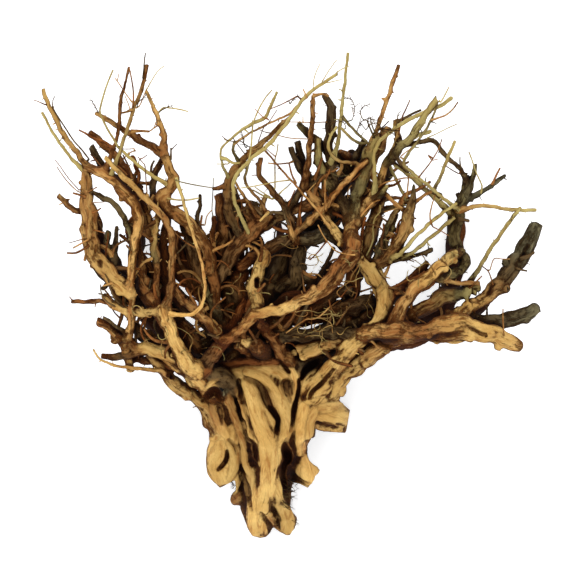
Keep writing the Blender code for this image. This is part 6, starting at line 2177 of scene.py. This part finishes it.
def floor_material():
    """Plain pale floor that glows a little, like a light table: it lights the wood from below and keeps
    the shadows on it faint.
    """
    material, shader = clean_material("pale_floor")
    shader.inputs["Base Color"].default_value = FLOOR_COLOUR
    shader.inputs["Roughness"].default_value = FLOOR_ROUGHNESS
    shader.inputs["Emission Color"].default_value = WHITE
    shader.inputs["Emission Strength"].default_value = FLOOR_GLOW
    return material


def build_floor():
    """A large plain floor under the wood."""
    mesh = bpy.data.meshes.new("floor")
    half = FLOOR_SIZE / 2
    corners = [(-half, -half, 0), (half, -half, 0), (half, half, 0), (-half, half, 0)]
    mesh.from_pydata(corners, [], [(0, 1, 2, 3)])
    mesh.materials.append(floor_material())
    floor = bpy.data.objects.new("floor", mesh)
    bpy.context.scene.collection.objects.link(floor)


def add_light(name, place, size, power):
    """A large square light that looks at the wood."""
    light = bpy.data.lights.new(name, "AREA")
    light.size = size
    light.energy = power
    lamp = bpy.data.objects.new(name, light)
    lamp.location = place
    look_at(lamp, LIGHT_TARGET)
    bpy.context.scene.collection.objects.link(lamp)


def look_at(lamp, target):
    """Turn a lamp towards a point."""
    direction = Vector(target) - Vector(lamp.location)
    lamp.rotation_euler = direction.to_track_quat("-Z", "Y").to_euler()


def build_studio():
    """Soft light from above and a pale surround."""
    bpy.context.scene.view_settings.view_transform = "Standard"
    world = bpy.data.worlds.new("studio")
    world.use_nodes = True
    background = world.node_tree.nodes["Background"]
    background.inputs["Color"].default_value = WHITE
    background.inputs["Strength"].default_value = WORLD_LIGHT
    bpy.context.scene.world = world
    for name, place, size, power in LIGHTS:
        add_light(name, place, size, power)


def build_camera():
    """The eye point above the sheet's middle, with the sheet as wide as the picture."""
    camera = bpy.data.cameras.new("camera")
    camera.sensor_width = SENSOR
    camera.lens = SENSOR * EYE_DISTANCE / SHEET_WIDTH
    camera.clip_end = CAMERA_FAR
    eye = bpy.data.objects.new("camera", camera)
    eye.location = ((SHEET_MIDDLE[0] - SHEET_ORIGIN[0]) * MILLIMETRE,
        (SHEET_ORIGIN[1] - SHEET_MIDDLE[1]) * MILLIMETRE, (SHEET_HEIGHT + EYE_DISTANCE) * MILLIMETRE)
    bpy.context.scene.collection.objects.link(eye)
    bpy.context.scene.camera = eye


def mount_piece(piece, material):
    """Give a piece its material and set it in the frame."""
    piece.data.materials.append(material)
    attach(piece, "root")
    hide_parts("driftwood_root")


def dress_wood(random):
    """Build all pieces of the wood and mount them."""
    thick, thin, strands, tones, canopy = build_wood(random)
    grid, cutters = fuse(thick, strands, canopy, random)
    fused = {**thick, **strands}
    root_look = wood_material("root_wood", *ROOT_LOOK)
    for piece in split_wood(*dressed_skin(grid, fused, tones, cutters, random), fused):
        mount_piece(piece, root_look)
    footing = Footing(left_standing(fused, grid))
    stems = build_stems(thin, tones, canopy, footing, random)
    twigs = build_twigs(canopy, footing, random)
    stem_look = wood_material("stem_wood", *STEM_LOOK)
    mount_piece(stems.piece("thin_stems"), stem_look)
    mount_piece(twigs.piece("thin_twigs"), stem_look)
    spurs = grow_spurs({**thick, **thin}, tones, footing, random)
    mount_piece(spurs.piece("broken_spurs"), stem_look)
    mount_piece(build_fine_growth(canopy, footing, random).piece("root_hairs"), stem_look)


def build_scene():
    """Load the frame, dress the wood, and set up the floor, studio and camera."""
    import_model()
    dress_wood(np.random.default_rng(RANDOM_SEED))
    build_floor()
    build_studio()
    build_camera()


build_scene()
